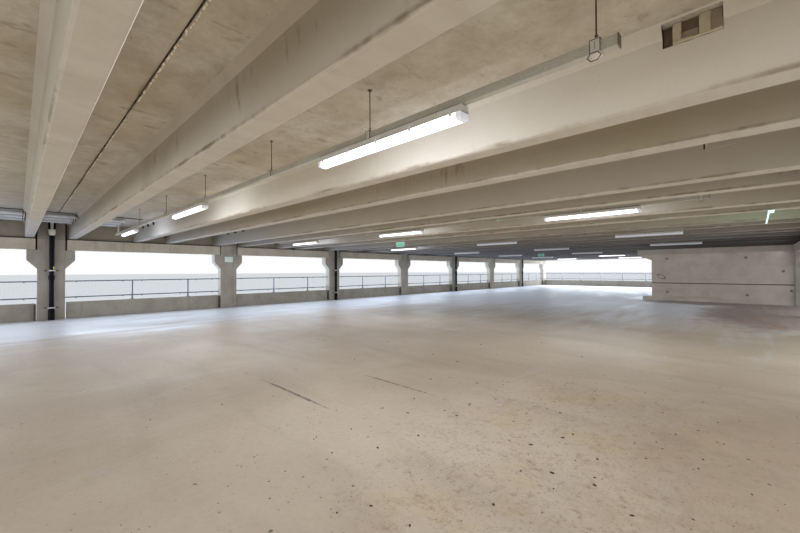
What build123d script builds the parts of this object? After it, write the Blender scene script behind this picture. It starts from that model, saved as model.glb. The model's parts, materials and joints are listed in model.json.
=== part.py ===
from build123d import *
from math import cos, pi
import os

# One covered storey of a multi storey car park, built of precast concrete.
# Millimetres. +X runs from the outer column row to the inner row, +Y along
# the rows and +Z up. The origin is the centre of the footprint, at the
# underside of the floor deck.

# Grid
BAYS = 8
BAY = 4800.0             # column spacing along a row
CLEAR_SPAN = 15200.0     # between the facing sides of the two rows

# Floor and upper deck
FLOOR_T = 150.0
FLANGE_T = 75.0
TOPPING_T = 75.0
TOPPING_JOINT = 10.0     # round a column

# Columns with a corbel on each side
COLUMN_W = 570.0         # along the row
COLUMN_D = 300.0         # across the row
CORBEL_REACH = 210.0
CORBEL_NOSE_H = 283.0
CORBEL_SLOPE_H = 242.0

# Edge beams: a ledger toe that carries the tees and an upstand behind it
LEDGER_BOTTOM = 1940.0   # above the floor
LEDGER_H = 305.0
TOE_PROUD = 28.0         # past the column face, into the span
UPSTAND_SETBACK = 120.0  # behind the column face
UPSTAND_T = 150.0
BEAM_GAP = 35.0          # between a beam's end and the column

# Double tees
TEE_JOINT = 12.0
STEM_SPREAD = 1526.0     # between the two stems' centres
STEM_H = 435.0           # below the flange
STEM_BOTTOM_W = 175.0
STEM_TOP_W = 188.0
STEM_EDGE = 10.0         # chamfer on the bottom edges
HAUNCH_W = 50.0          # where a stem meets the flange
HAUNCH_H = 80.0
TEE_BEARING = 100.0      # reach of a tee past the column face
COLUMN_NOTCH = 20.0      # clearance of the flange round a column
PAD_T = 20.0             # bearing strip under the stems
PAD_W = 90.0

# Service holes through the stems
HOLE_L = 200.0
HOLE_H = 110.0
HOLE_BELOW_SOFFIT = 5.0
HOLE_FIRST = 1300.0      # from the outer column face
HOLE_PITCH = 600.0
HOLE_COUNT = 3
POCKET_L = 260.0
POCKET_H = 120.0
POCKET_FROM_INNER = 1340.0
POCKET_BELOW_SOFFIT = 10.0

# Parapets
PARAPET_H = 467.0
PANEL_GAP = 40.0         # between a panel and the column
GABLE_PANELS = 3
GABLE_JOINT = 15.0

# Guard rails
RAIL_D = 42.0
RAIL_SIDES = 8
POST_W = 40.0            # square
RAIL_SETBACK = 50.0      # rail centre behind the panel's inner side
RAIL_TOP = 1064.0        # centre, above the deck
RAIL_LOW = 603.0
BAY_POSTS = 2            # on a panel between two columns
GABLE_POSTS = 9

# Cross wall on a column line, from the inner row
WALL_LINE = 5            # column line, counted from 0
WALL_T = 200.0
WALL_L = 4387.0
WALL_LOWER_H = 760.0
WALL_ARRIS = 12.0        # chamfer on the edges of the joint between its panels
WALL_TOP_GAP = 20.0      # below the stems
HAUNCH_REACH = 540.0
HAUNCH_NOSE_H = 237.0
HAUNCH_SLOPE_H = 235.0
KERB_L = 350.0
KERB_H = 150.0

# Rainwater pipes on every second outer column
PIPE_D = 110.0
PIPE_SIDES = 24
PIPE_STANDOFF = 112.0    # axis from the column face
PIPE_BASE_D = 140.0
PIPE_BASE_H = 300.0
COLLAR_D = 140.0
COLLAR_H = 138.0
COLLAR_Z = 1108.0
PIPE_TOP = 2335.0
HOPPER_D = 160.0
HOPPER_H = 169.0
HOPPER_BOWL_H = 75.0     # tapered part at its foot
SPOUT_D = 56.0
BRACKET_Z = (325.0, 1353.0)
BRACKET_H = 30.0
BRACKET_BAND = 8.0
BRACKET_W = 300.0
BRACKET_PLATE_T = 8.0
BRACKET_SIDES = 8
SEAT = 0.3               # clearance of a piece that is clipped or laid

# Conduits through the stems' service holes
CONDUIT_D = 90.0
CONDUIT_SIDES = 16
CONDUIT_START = 120.0    # from the first column line
DROP_D = 40.0
DROP_LINE = 1            # conduit with the drop, counted from 0

# Trunking with luminaires, one run in each bay
TRUNK_W = 42.0
TRUNK_H = 50.0
TRUNK_INSET = 1530.0     # its ends, from the column faces
TRUNK_BOTTOM = 2320.0
RUN_OFFSET = 1200.0      # from the column line
HANGER_D = 10.0
HANGER_SIDES = 4
HANGER_PLACES = (0.072, 0.235, 0.406, 0.570, 0.733, 0.862, 0.991)   # parts of the trunking's length
LAMP_L = 1500.0
LAMP_PITCH = 4400.0
LAMP_SHIFT = 105.0       # of the middle lamp, towards the inner row
LAMP_BODY_W = 90.0
LAMP_BODY_H = 48.0
LAMP_LIP = 12.0
DIFFUSER_INSET = 5.0     # its sides, from the body's sides
DIFFUSER_H = 52.0
DIFFUSER_EDGE = 20.0

# Signs
EXIT_L = 320.0
EXIT_H = 215.0
EXIT_T = 40.0
EXIT_AISLE_X = -1457.0
EXIT_FAR_X = -1677.0
EXIT_SIDE_X = 6683.0
PLATE_W = 312.0
PLATE_H = 217.0
PLATE_T = 3.0
PLATE_Z = 1775.0

# Sizes that follow
half_span = CLEAR_SPAN / 2
outer_x = half_span + COLUMN_D
length = BAYS * BAY
end_y = length / 2
lines = [i * BAY - end_y for i in range(BAYS + 1)]
tee_w = BAY / 2
floor_z = FLOOR_T
ledger_z = floor_z + LEDGER_BOTTOM
bearing_z = ledger_z + LEDGER_H
stem_z = bearing_z + PAD_T
soffit_z = stem_z + STEM_H
flange_z = soffit_z + FLANGE_T
deck_z = flange_z + TOPPING_T
parapet_z = deck_z + PARAPET_H
upstand_x = half_span + UPSTAND_SETBACK
gable_y = end_y          # inner side of the gable panels
panel_rail_x = upstand_x + RAIL_SETBACK
gable_rail_y = gable_y + RAIL_SETBACK
rail_flat = RAIL_D / 2 * cos(pi / RAIL_SIDES)
tee_end = half_span + TEE_BEARING
trunk_top = floor_z + TRUNK_BOTTOM + TRUNK_H
run_lines = [y + RUN_OFFSET for y in lines[:-1]]
pipe_lines = lines[1::2]
trunk_l = CLEAR_SPAN - 2 * TRUNK_INSET
bay_run = BAY - COLUMN_W


def block(x0, x1, y0, y1, z0, z1):
    """A box between two corners."""
    size = Box(x1 - x0, y1 - y0, z1 - z0, align=(Align.MIN, Align.MIN, Align.MIN))
    return Pos(x0, y0, z0) * size


def across(outline, x0, x1):
    """A closed (y, z) outline, extruded along X."""
    side = Plane(origin=(x0, 0, 0), x_dir=(0, 1, 0), z_dir=(1, 0, 0))
    face = make_face(side * Polyline(*outline, close=True))
    return extrude(face, amount=x1 - x0, dir=(1, 0, 0))


def along(outline, y0, y1):
    """A closed (x, z) outline, extruded along Y."""
    side = Plane(origin=(0, y0, 0), x_dir=(1, 0, 0), z_dir=(0, -1, 0))
    face = make_face(side * Polyline(*outline, close=True))
    return extrude(face, amount=y1 - y0, dir=(0, 1, 0))


def bar(start, end, diameter, sides):
    """A straight bar with a regular outline, between two points."""
    path = Vector(*end) - Vector(*start)
    where = Plane(origin=start, z_dir=path)
    outline = RegularPolygon(radius=diameter / 2, side_count=sides, rotation=180 / sides)
    return extrude(where * outline, amount=path.length)


def save(name, *pieces):
    """Write one node; its pieces stay separate solids."""
    solids = [s for piece in pieces for s in piece.solids()]
    export_step(Compound(label=name, children=solids), f"parts/{name}.step")
    print(name, len(solids))


def column(y, top, left, right):
    """One column; left and right say which sides carry a corbel."""
    half = COLUMN_W / 2
    reach = half + CORBEL_REACH
    nose = ledger_z - CORBEL_NOSE_H
    toe = nose - CORBEL_SLOPE_H
    corbel = [(half, toe), (reach, nose), (reach, ledger_z), (half, ledger_z)]
    outline = [(half, floor_z)]
    if right:
        outline += corbel
    outline += [(half, top), (-half, top)]
    if left:
        outline += [(-a, b) for a, b in reversed(corbel)]
    outline += [(-half, floor_z)]
    placed = [(y + a, b) for a, b in outline]
    return across(placed, -outer_x, -half_span)


def column_row(top):
    """The outer row of columns."""
    last = BAYS
    return [column(y, top, i > 0, i < last) for i, y in enumerate(lines)]


def edge_beams(top):
    """The outer row of edge beams, one in each bay."""
    outline = [
        (-half_span + TOE_PROUD, ledger_z),
        (-half_span + TOE_PROUD, bearing_z),
        (-upstand_x, bearing_z),
        (-upstand_x, top),
        (-upstand_x - UPSTAND_T, top),
        (-upstand_x - UPSTAND_T, ledger_z),
    ]
    inset = COLUMN_W / 2 + BEAM_GAP
    return [along(outline, y + inset, y + BAY - inset) for y in lines[:-1]]


def mirrored(pieces):
    """The same pieces on the inner row."""
    return [mirror(piece, about=Plane.YZ) for piece in pieces]


def column_clearance(gap, z0, z1):
    """The columns' plan, grown by a gap, as cutting blocks for both rows."""
    half = COLUMN_W / 2 + gap
    cuts = []
    for y in lines:
        cuts.append(block(-outer_x, -half_span + gap, y - half, y + half, z0, z1))
        cuts.append(block(half_span - gap, outer_x, y - half, y + half, z0, z1))
    return cuts


def tee_outline(y):
    """The section of one double tee, as (y, z) points."""
    half = (tee_w - TEE_JOINT) / 2
    side = [
        (STEM_TOP_W / 2 + HAUNCH_W, soffit_z),
        (STEM_TOP_W / 2, soffit_z - HAUNCH_H),
        (STEM_BOTTOM_W / 2, stem_z + STEM_EDGE),
        (STEM_BOTTOM_W / 2 - STEM_EDGE, stem_z),
    ]
    points = [(-half, flange_z), (-half, soffit_z)]
    for centre in (-STEM_SPREAD / 2, STEM_SPREAD / 2):
        points += [(centre - a, b) for a, b in side]
        points += [(centre + a, b) for a, b in reversed(side)]
    points += [(half, soffit_z), (half, flange_z)]
    return [(y + a, b) for a, b in points]


def stem_lines(y):
    """The two stems' centre lines of a tee."""
    return (y - STEM_SPREAD / 2, y + STEM_SPREAD / 2)


hole_x = [-half_span + HOLE_FIRST + i * HOLE_PITCH for i in range(HOLE_COUNT)]
hole_top = soffit_z - HOLE_BELOW_SOFFIT
hole_bottom = hole_top - HOLE_H


def tee(y):
    """One double tee with its service holes and column notches."""
    body = across(tee_outline(y), -tee_end, tee_end)
    reach = STEM_TOP_W / 2 + HAUNCH_W
    cuts = []
    for stem in stem_lines(y):
        for x in hole_x:
            cuts.append(block(x - HOLE_L / 2, x + HOLE_L / 2, stem - reach, stem + reach,
                              hole_bottom, hole_top))
    stem = stem_lines(y)[-1]
    x = half_span - POCKET_FROM_INNER
    top = soffit_z - POCKET_BELOW_SOFFIT
    cuts.append(block(x - POCKET_L / 2, x + POCKET_L / 2, stem - reach, stem + reach,
                      top - POCKET_H, top))
    notches = column_clearance(COLUMN_NOTCH, stem_z, deck_z)
    near = [n for n in notches if abs(n.center().Y - y) < tee_w / 2 + COLUMN_W]
    return body - cuts - near


def gable_panels(side, z0, z1):
    """The panels of one gable, between the corner columns."""
    run = CLEAR_SPAN - 2 * PANEL_GAP
    each = (run - (GABLE_PANELS - 1) * GABLE_JOINT) / GABLE_PANELS
    panels = []
    for i in range(GABLE_PANELS):
        x = -run / 2 + i * (each + GABLE_JOINT)
        ends = sorted((side * gable_y, side * (gable_y + UPSTAND_T)))
        panels.append(block(x, x + each, ends[0], ends[1], z0, z1))
    return panels


def rail_frame(start, end, outward, posts, base, deck):
    """Two rails on the inner side of their posts; posts are distances along the run."""
    run = Vector(*end) - Vector(*start)
    step = run.normalized()
    level = [Vector(0, 0, deck + RAIL_LOW), Vector(0, 0, deck + RAIL_TOP)]
    frame = [bar(tuple(Vector(*start) + z), tuple(Vector(*end) + z), RAIL_D, RAIL_SIDES) for z in level]
    behind = Vector(*outward) * (rail_flat + POST_W / 2)
    height = deck + RAIL_TOP + rail_flat - base
    for distance in posts:
        foot = Vector(*start) + step * distance + behind
        post = Box(POST_W, POST_W, height, align=(Align.CENTER, Align.CENTER, Align.MIN))
        frame.append(Pos(foot.X, foot.Y, base) * post)
    return frame[0].fuse(*frame[1:])


os.makedirs("parts", exist_ok=True)

# Floor deck
save("floor_deck", block(-outer_x, outer_x, -end_y - COLUMN_W / 2, end_y + COLUMN_W / 2, 0, floor_z))

# Columns and edge beams
save("outer_columns", *column_row(parapet_z))
save("inner_columns", *mirrored(column_row(deck_z)))
save("outer_edge_beams", *edge_beams(parapet_z))
save("inner_edge_beams", *mirrored(edge_beams(deck_z)))

# Bearing strips on the ledgers
pad_inset = COLUMN_W / 2 + BEAM_GAP
pads = [
    block(-tee_end, -tee_end + PAD_W, y + pad_inset, y + BAY - pad_inset, bearing_z, stem_z)
    for y in lines[:-1]
]
save("outer_bearing_strips", *pads)
save("inner_bearing_strips", *mirrored(pads))

# Double tees, two in each bay, and the topping over them
for i, y in enumerate(lines[:-1]):
    save(f"double_tees_bay_{i + 1}", tee(y + tee_w / 2), tee(y + tee_w * 3 / 2))
topping = block(-upstand_x, upstand_x, -gable_y, gable_y, flange_z, deck_z)
save("deck_topping", topping - column_clearance(TOPPING_JOINT, flange_z, deck_z))

# Parapets
panel_inset = COLUMN_W / 2 + PANEL_GAP
save("outer_parapets", *[
    block(-upstand_x - UPSTAND_T, -upstand_x, y + panel_inset, y + BAY - panel_inset,
          floor_z, floor_z + PARAPET_H)
    for y in lines[:-1]
])
save("near_gable_parapet", *gable_panels(-1, floor_z, floor_z + PARAPET_H))
save("far_gable_parapet", *gable_panels(1, floor_z, floor_z + PARAPET_H))
save("near_gable_spandrel", *gable_panels(-1, stem_z, parapet_z))
save("far_gable_spandrel", *gable_panels(1, stem_z, parapet_z))

# Guard rails on the covered storey: between columns
bay_start = COLUMN_W / 2
bay_posts = [BAY / (BAY_POSTS + 1) * (i + 1) for i in range(BAY_POSTS)]
save("outer_rails", *[
    rail_frame((-panel_rail_x, y + bay_start, 0), (-panel_rail_x, y + BAY - bay_start, 0), (-1, 0, 0),
               bay_posts, floor_z + PARAPET_H, floor_z)
    for y in lines[:-1]
])
gable_posts = [CLEAR_SPAN / (GABLE_POSTS + 0.5) * (i + 1) for i in range(GABLE_POSTS)]
for name, side in (("near_gable_rail", -1), ("far_gable_rail", 1)):
    y = side * gable_rail_y
    save(name, rail_frame((-half_span, y, 0), (half_span, y, 0), (0, side, 0),
                          gable_posts, floor_z + PARAPET_H, floor_z))

# Guard rails on the upper deck: continuous over the column tops
corner_y = gable_rail_y + rail_flat
corner_x = panel_rail_x - rail_flat
deck_posts = [line + corner_y + bay_start + d for line in lines[:-1] for d in bay_posts]
corner_posts = [corner_x - half_span + d for d in gable_posts]
save("deck_outer_rail", rail_frame((-panel_rail_x, -corner_y, 0), (-panel_rail_x, corner_y, 0), (-1, 0, 0),
                                   deck_posts, parapet_z, deck_z))
for name, side in (("deck_near_gable_rail", -1), ("deck_far_gable_rail", 1)):
    y = side * gable_rail_y
    save(name, rail_frame((-corner_x, y, 0), (half_span, y, 0), (0, side, 0),
                          corner_posts, parapet_z, deck_z))

# Cross wall: two panels, the upper one with a haunch, and a kerb at its end
wall_y = lines[WALL_LINE]
wall_x = half_span - WALL_L
wall_joint = floor_z + WALL_LOWER_H
wall_top = stem_z - WALL_TOP_GAP
haunch = [
    (half_span, wall_joint),
    (half_span, wall_top),
    (wall_x - HAUNCH_REACH, wall_top),
    (wall_x - HAUNCH_REACH, wall_top - HAUNCH_NOSE_H),
    (wall_x, wall_top - HAUNCH_NOSE_H - HAUNCH_SLOPE_H),
    (wall_x, wall_joint),
]
upper = along(haunch, wall_y - WALL_T / 2, wall_y + WALL_T / 2)
lower = block(wall_x, half_span, wall_y - WALL_T / 2, wall_y + WALL_T / 2, floor_z, wall_joint)
upper_arris = upper.edges().filter_by(Axis.X).group_by(Axis.Z)[0]
lower_arris = lower.edges().filter_by(Axis.X).group_by(Axis.Z)[-1]
save("cross_wall_lower", chamfer(lower_arris, WALL_ARRIS))
save("cross_wall_upper", chamfer(upper_arris, WALL_ARRIS))
save("cross_wall_kerb", block(wall_x - KERB_L, wall_x, wall_y - WALL_T / 2, wall_y + WALL_T / 2,
                              floor_z, floor_z + KERB_H))

# Rainwater pipes, their hoppers and their brackets
pipe_x = -half_span + PIPE_STANDOFF


def stepped(steps, y):
    """An upright piece from (height from, height to, diameter) steps above the floor."""
    lengths = []
    for low, high, d in steps:
        outline = Pos(pipe_x, y, floor_z + low) * RegularPolygon(d / 2, PIPE_SIDES)
        lengths.append(extrude(outline, amount=high - low))
    return lengths[0].fuse(*lengths[1:])


pipe_steps = (
    (0, PIPE_BASE_H, PIPE_BASE_D),
    (PIPE_BASE_H, COLLAR_Z, PIPE_D),
    (COLLAR_Z, COLLAR_Z + COLLAR_H, COLLAR_D),
    (COLLAR_Z + COLLAR_H, PIPE_TOP, PIPE_D),
)
hopper_steps = (
    (PIPE_TOP + HOPPER_BOWL_H, PIPE_TOP + HOPPER_H, HOPPER_D),
    (PIPE_TOP + HOPPER_H, soffit_z - floor_z, SPOUT_D),
)
save("rainwater_pipes", *[stepped(pipe_steps, y) for y in pipe_lines])


def hopper(y):
    """A tapered bowl under a short drum and its spout."""
    foot = Pos(pipe_x, y, floor_z + PIPE_TOP) * RegularPolygon(PIPE_D / 2, PIPE_SIDES)
    rim = Pos(pipe_x, y, floor_z + PIPE_TOP + HOPPER_BOWL_H) * RegularPolygon(HOPPER_D / 2, PIPE_SIDES)
    return loft([foot, rim]).fuse(stepped(hopper_steps, y))


save("rainwater_hoppers", *[hopper(y) for y in pipe_lines])


def bracket(y, z):
    """A clamp round the pipe, on a plate that is fixed to the column."""
    flat = cos(pi / BRACKET_SIDES)
    bore = PIPE_D / 2 + SEAT
    z0 = floor_z + z
    turn = 180 / BRACKET_SIDES
    rings = [RegularPolygon(r / flat, BRACKET_SIDES, rotation=turn) for r in (bore + BRACKET_BAND, bore)]
    band = extrude(Pos(pipe_x, y, z0) * (rings[0] - rings[1]), amount=BRACKET_H)
    plate_x = -half_span + BRACKET_PLATE_T
    plate = block(-half_span, plate_x, y - BRACKET_W / 2, y + BRACKET_W / 2, z0, z0 + BRACKET_H)
    arm = BRACKET_BAND
    stub = block(plate_x, pipe_x - bore, y - arm, y + arm, z0, z0 + BRACKET_H)
    return plate.fuse(stub, band)


save("pipe_brackets", *[bracket(y, z) for y in pipe_lines for z in BRACKET_Z])

# Conduits, laid through the service holes
conduit_z = hole_bottom + SEAT + CONDUIT_D / 2 * cos(pi / CONDUIT_SIDES)
conduit_end = run_lines[1] + CONDUIT_D / 2
conduits = []
for i, x in enumerate(hole_x):
    start = (x, lines[0] + CONDUIT_START, conduit_z)
    pipe = bar(start, (x, conduit_end, conduit_z), CONDUIT_D, CONDUIT_SIDES)
    if i == DROP_LINE:
        drop = bar((x, run_lines[1], trunk_top), (x, run_lines[1], conduit_z), DROP_D, CONDUIT_SIDES)
        pipe = pipe.fuse(drop)
    conduits.append(pipe)
save("conduits", *conduits)

# Trunking, hangers and luminaires
save("trunking", *[
    block(-trunk_l / 2, trunk_l / 2, y - TRUNK_W / 2, y + TRUNK_W / 2, trunk_top - TRUNK_H, trunk_top)
    for y in run_lines
])
hanger_x = [place * trunk_l - trunk_l / 2 for place in HANGER_PLACES]
save("hanger_rods", *[
    bar((x, y, trunk_top), (x, y, soffit_z), HANGER_D, HANGER_SIDES)
    for y in run_lines for x in hanger_x
])
body_top = trunk_top - TRUNK_H
body_z = body_top - LAMP_BODY_H
lamp_body = [
    (-LAMP_BODY_W / 2, body_z),
    (-LAMP_BODY_W / 2, body_z + LAMP_LIP),
    (-LAMP_BODY_W / 2 + LAMP_LIP, body_top),
    (LAMP_BODY_W / 2 - LAMP_LIP, body_top),
    (LAMP_BODY_W / 2, body_z + LAMP_LIP),
    (LAMP_BODY_W / 2, body_z),
]
diffuser_z = body_z - DIFFUSER_H
side = LAMP_BODY_W / 2 - DIFFUSER_INSET
diffuser = [
    (-side, body_z),
    (side, body_z),
    (side, diffuser_z + DIFFUSER_EDGE),
    (side - DIFFUSER_EDGE, diffuser_z),
    (-side + DIFFUSER_EDGE, diffuser_z),
    (-side, diffuser_z + DIFFUSER_EDGE),
]


def lamp(outline, x, y):
    """One luminaire piece, extruded along X at its place."""
    return across([(y + a, b) for a, b in outline], x - LAMP_L / 2, x + LAMP_L / 2)


places = [(LAMP_SHIFT + i * LAMP_PITCH, y) for y in run_lines for i in (-1, 0, 1)]
save("luminaire_bodies", *[lamp(lamp_body, x, y) for x, y in places])
save("luminaire_diffusers", *[lamp(diffuser, x, y) for x, y in places])

# Signs


def exit_sign(x, y, size_x, size_y):
    """A thin box that hangs under a stem."""
    return block(x - size_x / 2, x + size_x / 2, y - size_y / 2, y + size_y / 2, stem_z - EXIT_H, stem_z)


aisle_stem = stem_lines(lines[2] + tee_w * 3 / 2)[0]
far_stem = stem_lines(lines[4] + tee_w * 3 / 2)[1]
save("exit_signs", exit_sign(EXIT_AISLE_X, aisle_stem, EXIT_L, EXIT_T),
     exit_sign(EXIT_FAR_X, far_stem, EXIT_L, EXIT_T), exit_sign(EXIT_SIDE_X, aisle_stem, EXIT_T, EXIT_L))
y = lines[2]
save("location_plate", block(-half_span, -half_span + PLATE_T, y - PLATE_W / 2, y + PLATE_W / 2,
                             floor_z + PLATE_Z - PLATE_H / 2, floor_z + PLATE_Z + PLATE_H / 2))
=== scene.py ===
# %% [markdown]
# One covered storey of a multi storey car park, dressed around its fixed frame.
# The frame brings every concrete unit, rail, pipe and lamp at its true place, in metres, so a new piece
# only needs to know which unit it belongs to.

import json
from math import cos, pi, radians, sin

import bmesh
import bpy
from mathutils import Matrix, Vector, noise


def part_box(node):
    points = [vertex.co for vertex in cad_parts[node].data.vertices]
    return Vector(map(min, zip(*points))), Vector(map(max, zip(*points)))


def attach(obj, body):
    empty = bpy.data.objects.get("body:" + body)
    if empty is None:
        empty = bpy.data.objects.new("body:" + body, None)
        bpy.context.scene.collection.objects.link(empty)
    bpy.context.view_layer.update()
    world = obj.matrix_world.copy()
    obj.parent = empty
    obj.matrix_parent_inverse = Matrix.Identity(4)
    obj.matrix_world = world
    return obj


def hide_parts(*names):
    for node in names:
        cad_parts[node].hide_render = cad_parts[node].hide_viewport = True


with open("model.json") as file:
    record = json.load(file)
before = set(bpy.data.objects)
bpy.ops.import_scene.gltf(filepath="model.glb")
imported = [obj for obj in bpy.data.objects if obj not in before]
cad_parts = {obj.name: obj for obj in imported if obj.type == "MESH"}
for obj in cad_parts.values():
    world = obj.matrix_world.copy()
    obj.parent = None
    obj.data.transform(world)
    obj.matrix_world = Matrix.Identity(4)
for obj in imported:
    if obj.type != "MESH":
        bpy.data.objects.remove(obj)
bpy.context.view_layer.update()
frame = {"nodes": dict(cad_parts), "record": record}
node = frame["nodes"]

# %% [markdown]
# The driving measures come from the boxes of the frame's own units. The bay, the column lines and the
# levels of floor, soffit and deck are worked out once, so that every later cell can speak of them.

# %% Measures of the building
BAYS = 8
COLUMN_W = 0.570         # along the row
STEM_SPREAD = 1.526      # between a tee's two stems
RUN_SHIFT = 1.200        # of a run of lamps from the column line before it
PARAPET_H = 0.467        # above the floor
WALL_JOINT_H = 0.760     # between the cross wall's panels, above the floor

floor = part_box("floor_deck")[1].z
row_low, row_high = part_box("outer_columns")
bay = (row_high.y - row_low.y - COLUMN_W) / BAYS
lines = [row_low.y + COLUMN_W / 2 + i * bay for i in range(BAYS + 1)]
outer_face = row_high.x
inner_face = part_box("inner_columns")[0].x
stem_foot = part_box("double_tees_bay_1")[0].z
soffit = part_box("hanger_rods")[1].z
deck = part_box("deck_topping")[1].z
tee_w = bay / 2
tee_lines = [lines[0] + tee_w * (i + 0.5) for i in range(2 * BAYS)]
run_lines = [y + RUN_SHIFT for y in lines[:-1]]
span = inner_face - outer_face
run = lines[-1] - lines[0]
print("bay", round(bay, 3), "span", round(span, 2), "run", round(run, 2))
print("floor", round(floor, 3), "soffit", round(soffit, 3), "deck", round(deck, 3))

# %% [markdown]
# The photograph was taken with a wide lens at chest height, near the inner row, looking along the storey
# at an angle. The camera's axes are written out from a compass turn, a slight tilt and a slight roll,
# and become the columns of its matrix. A camera looks along its own minus Z.

# %% Camera
LENS = 16.515
SENSOR_W = 36
EYE = Vector((6.483, -15.050, 1.470))
LOOK = Vector((-0.6926, 0.7213, 0.0))
TILT = radians(0.727)
ROLL = radians(-0.187)

ahead = (LOOK * cos(TILT) + Vector((0, 0, 1)) * sin(TILT)).normalized()
level = ahead.cross(Vector((0, 0, 1))).normalized()
right = level * cos(ROLL) + level.cross(ahead) * sin(ROLL)
above = right.cross(ahead)
camera_data = bpy.data.cameras.new("camera")
camera_data.lens = LENS
camera_data.sensor_width = SENSOR_W
camera_data.clip_start = 0.02
camera_data.clip_end = 500
camera = bpy.data.objects.new("camera", camera_data)
camera.matrix_world = Matrix.Translation(EYE) @ Matrix((right, above, -ahead)).transposed().to_4x4()
bpy.context.scene.collection.objects.link(camera)
bpy.context.scene.camera = camera
print("camera at", [round(v, 3) for v in EYE])

# %% [markdown]
# Shader maths is easier to read as plain expressions. Value wraps one output socket, and its operators
# add the Math nodes, so 1 - mask is a node as well. Finish starts a material and adds any other node:
# its settings go in before the links, since some settings change which sockets there are.

# %% A small shader language
class Value:
    """One output socket of a material's nodes."""

    def __init__(self, finish, socket):
        self.finish = finish
        self.socket = socket

    def math(self, operation, *others):
        return self.finish.node("ShaderNodeMath", {"operation": operation}, dict(enumerate((self, *others))))

    def __add__(self, other):
        return self.math("ADD", other)

    def __radd__(self, other):
        return self.math("ADD", other)

    def __sub__(self, other):
        return self.math("SUBTRACT", other)

    def __rsub__(self, other):
        return (self * -1).math("ADD", other)

    def __mul__(self, other):
        return self.math("MULTIPLY", other)

    def __rmul__(self, other):
        return self.math("MULTIPLY", other)

    def __truediv__(self, other):
        return self.math("DIVIDE", other)

    def ramp(self, start, end, low=0.0, high=1.0):
        """Smoothly from low at start to high at end."""
        settings = {"interpolation_type": "SMOOTHSTEP"}
        sockets = {"Value": self, "From Min": start, "From Max": end, "To Min": low, "To Max": high}
        return self.finish.node("ShaderNodeMapRange", settings, sockets)

    def bigger(self, other):
        return self.math("MAXIMUM", other)


class Finish:
    """A material, its surface and the patterns that feed it."""

    def __init__(self, name):
        self.material = bpy.data.materials.new(name)
        self.material.use_nodes = True
        self.tree = self.material.node_tree
        self.surface = self.tree.nodes["Principled BSDF"]
        self.place = self.node("ShaderNodeTexCoord", {}, {}, "Object")
        parts = self.node("ShaderNodeSeparateXYZ", {}, {0: self.place}, None)
        self.x, self.y, self.z = (Value(self, socket) for socket in parts.outputs)
        facing = self.node("ShaderNodeNewGeometry", {}, {}, "Normal")
        turned = self.node("ShaderNodeSeparateXYZ", {}, {0: facing}, None)
        self.facing_x, self.facing_y, self.up = (Value(self, socket) for socket in turned.outputs)

    def node(self, kind, settings, sockets, output=0):
        """Any node: its type, its settings, the values or links of its sockets, and the output wanted."""
        made = self.tree.nodes.new(kind)
        for key, value in settings.items():
            setattr(made, key, value)
        for key, value in sockets.items():
            if isinstance(value, Value):
                self.tree.links.new(value.socket, made.inputs[key])
            else:
                made.inputs[key].default_value = value
        return made if output is None else Value(self, made.outputs[output])

    def stretched(self, x, y, z):
        """The place with each axis scaled, for streaks."""
        return self.node("ShaderNodeVectorMath", {"operation": "MULTIPLY"}, {0: self.place, 1: (x, y, z)})

    def clouds(self, scale, detail=4.0, place=None, roughness=0.55, distortion=0.0):
        """Noise from 0 to 1, centred on 0.5; the scale is in spots for each metre."""
        sockets = {"Vector": place or self.place, "Scale": scale, "Detail": detail,
                   "Roughness": roughness, "Distortion": distortion}
        return self.node("ShaderNodeTexNoise", {}, sockets)

    def cells(self, scale, place=None, output="Distance", axes="3D"):
        """Distance to scattered points, or a random colour for each point; 2D scatters them over X and Y."""
        sockets = {"Vector": place or self.place, "Scale": scale}
        return self.node("ShaderNodeTexVoronoi", {"voronoi_dimensions": axes}, sockets, output)

    def mix(self, mask, first, second):
        """Two colours by a mask."""
        return self.node("ShaderNodeMix", {"data_type": "RGBA"}, {0: mask, 6: first, 7: second}, 2)

    def bump(self, height, strength, distance):
        """A normal from a height in metres times distance."""
        sockets = {"Height": height, "Strength": strength, "Distance": distance}
        return self.node("ShaderNodeBump", {}, sockets)

    def spot(self, x, y, reach_x, reach_y, ragged):
        """A soft ellipse seen from above: 1 at its middle, 0 past its edge; ragged is added to the edge."""
        across = (self.x - x) / reach_x
        along = (self.y - y) / reach_y
        away = (across * across + along * along).math("SQRT")
        return (away + ragged).ramp(1.15, 0.65)

    def set(self, **sockets):
        """Values or links of the surface's own sockets."""
        for key, value in sockets.items():
            socket = self.surface.inputs[key.replace("_", " ").title()]
            if isinstance(value, Value):
                self.tree.links.new(value.socket, socket)
            else:
                socket.default_value = value
        return self.material


def tone(red, green, blue):
    """A colour as read from a screen, 0 to 255, in the linear values that a shader takes."""
    def linear(level):
        share = level / 255
        return share / 12.92 if share <= 0.04045 else ((share + 0.055) / 1.055) ** 2.4
    return (linear(red), linear(green), linear(blue), 1.0)


print("shader language ready")

# %% [markdown]
# Precast concrete is never one colour. It has broad clouds from the mould, finer mottling, darker damp
# patches, pinholes from trapped air and a fine grain. One recipe with its own three tones serves every
# unit, and what is special to a unit, such as stains at a joint, is laid over it afterwards.

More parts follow.
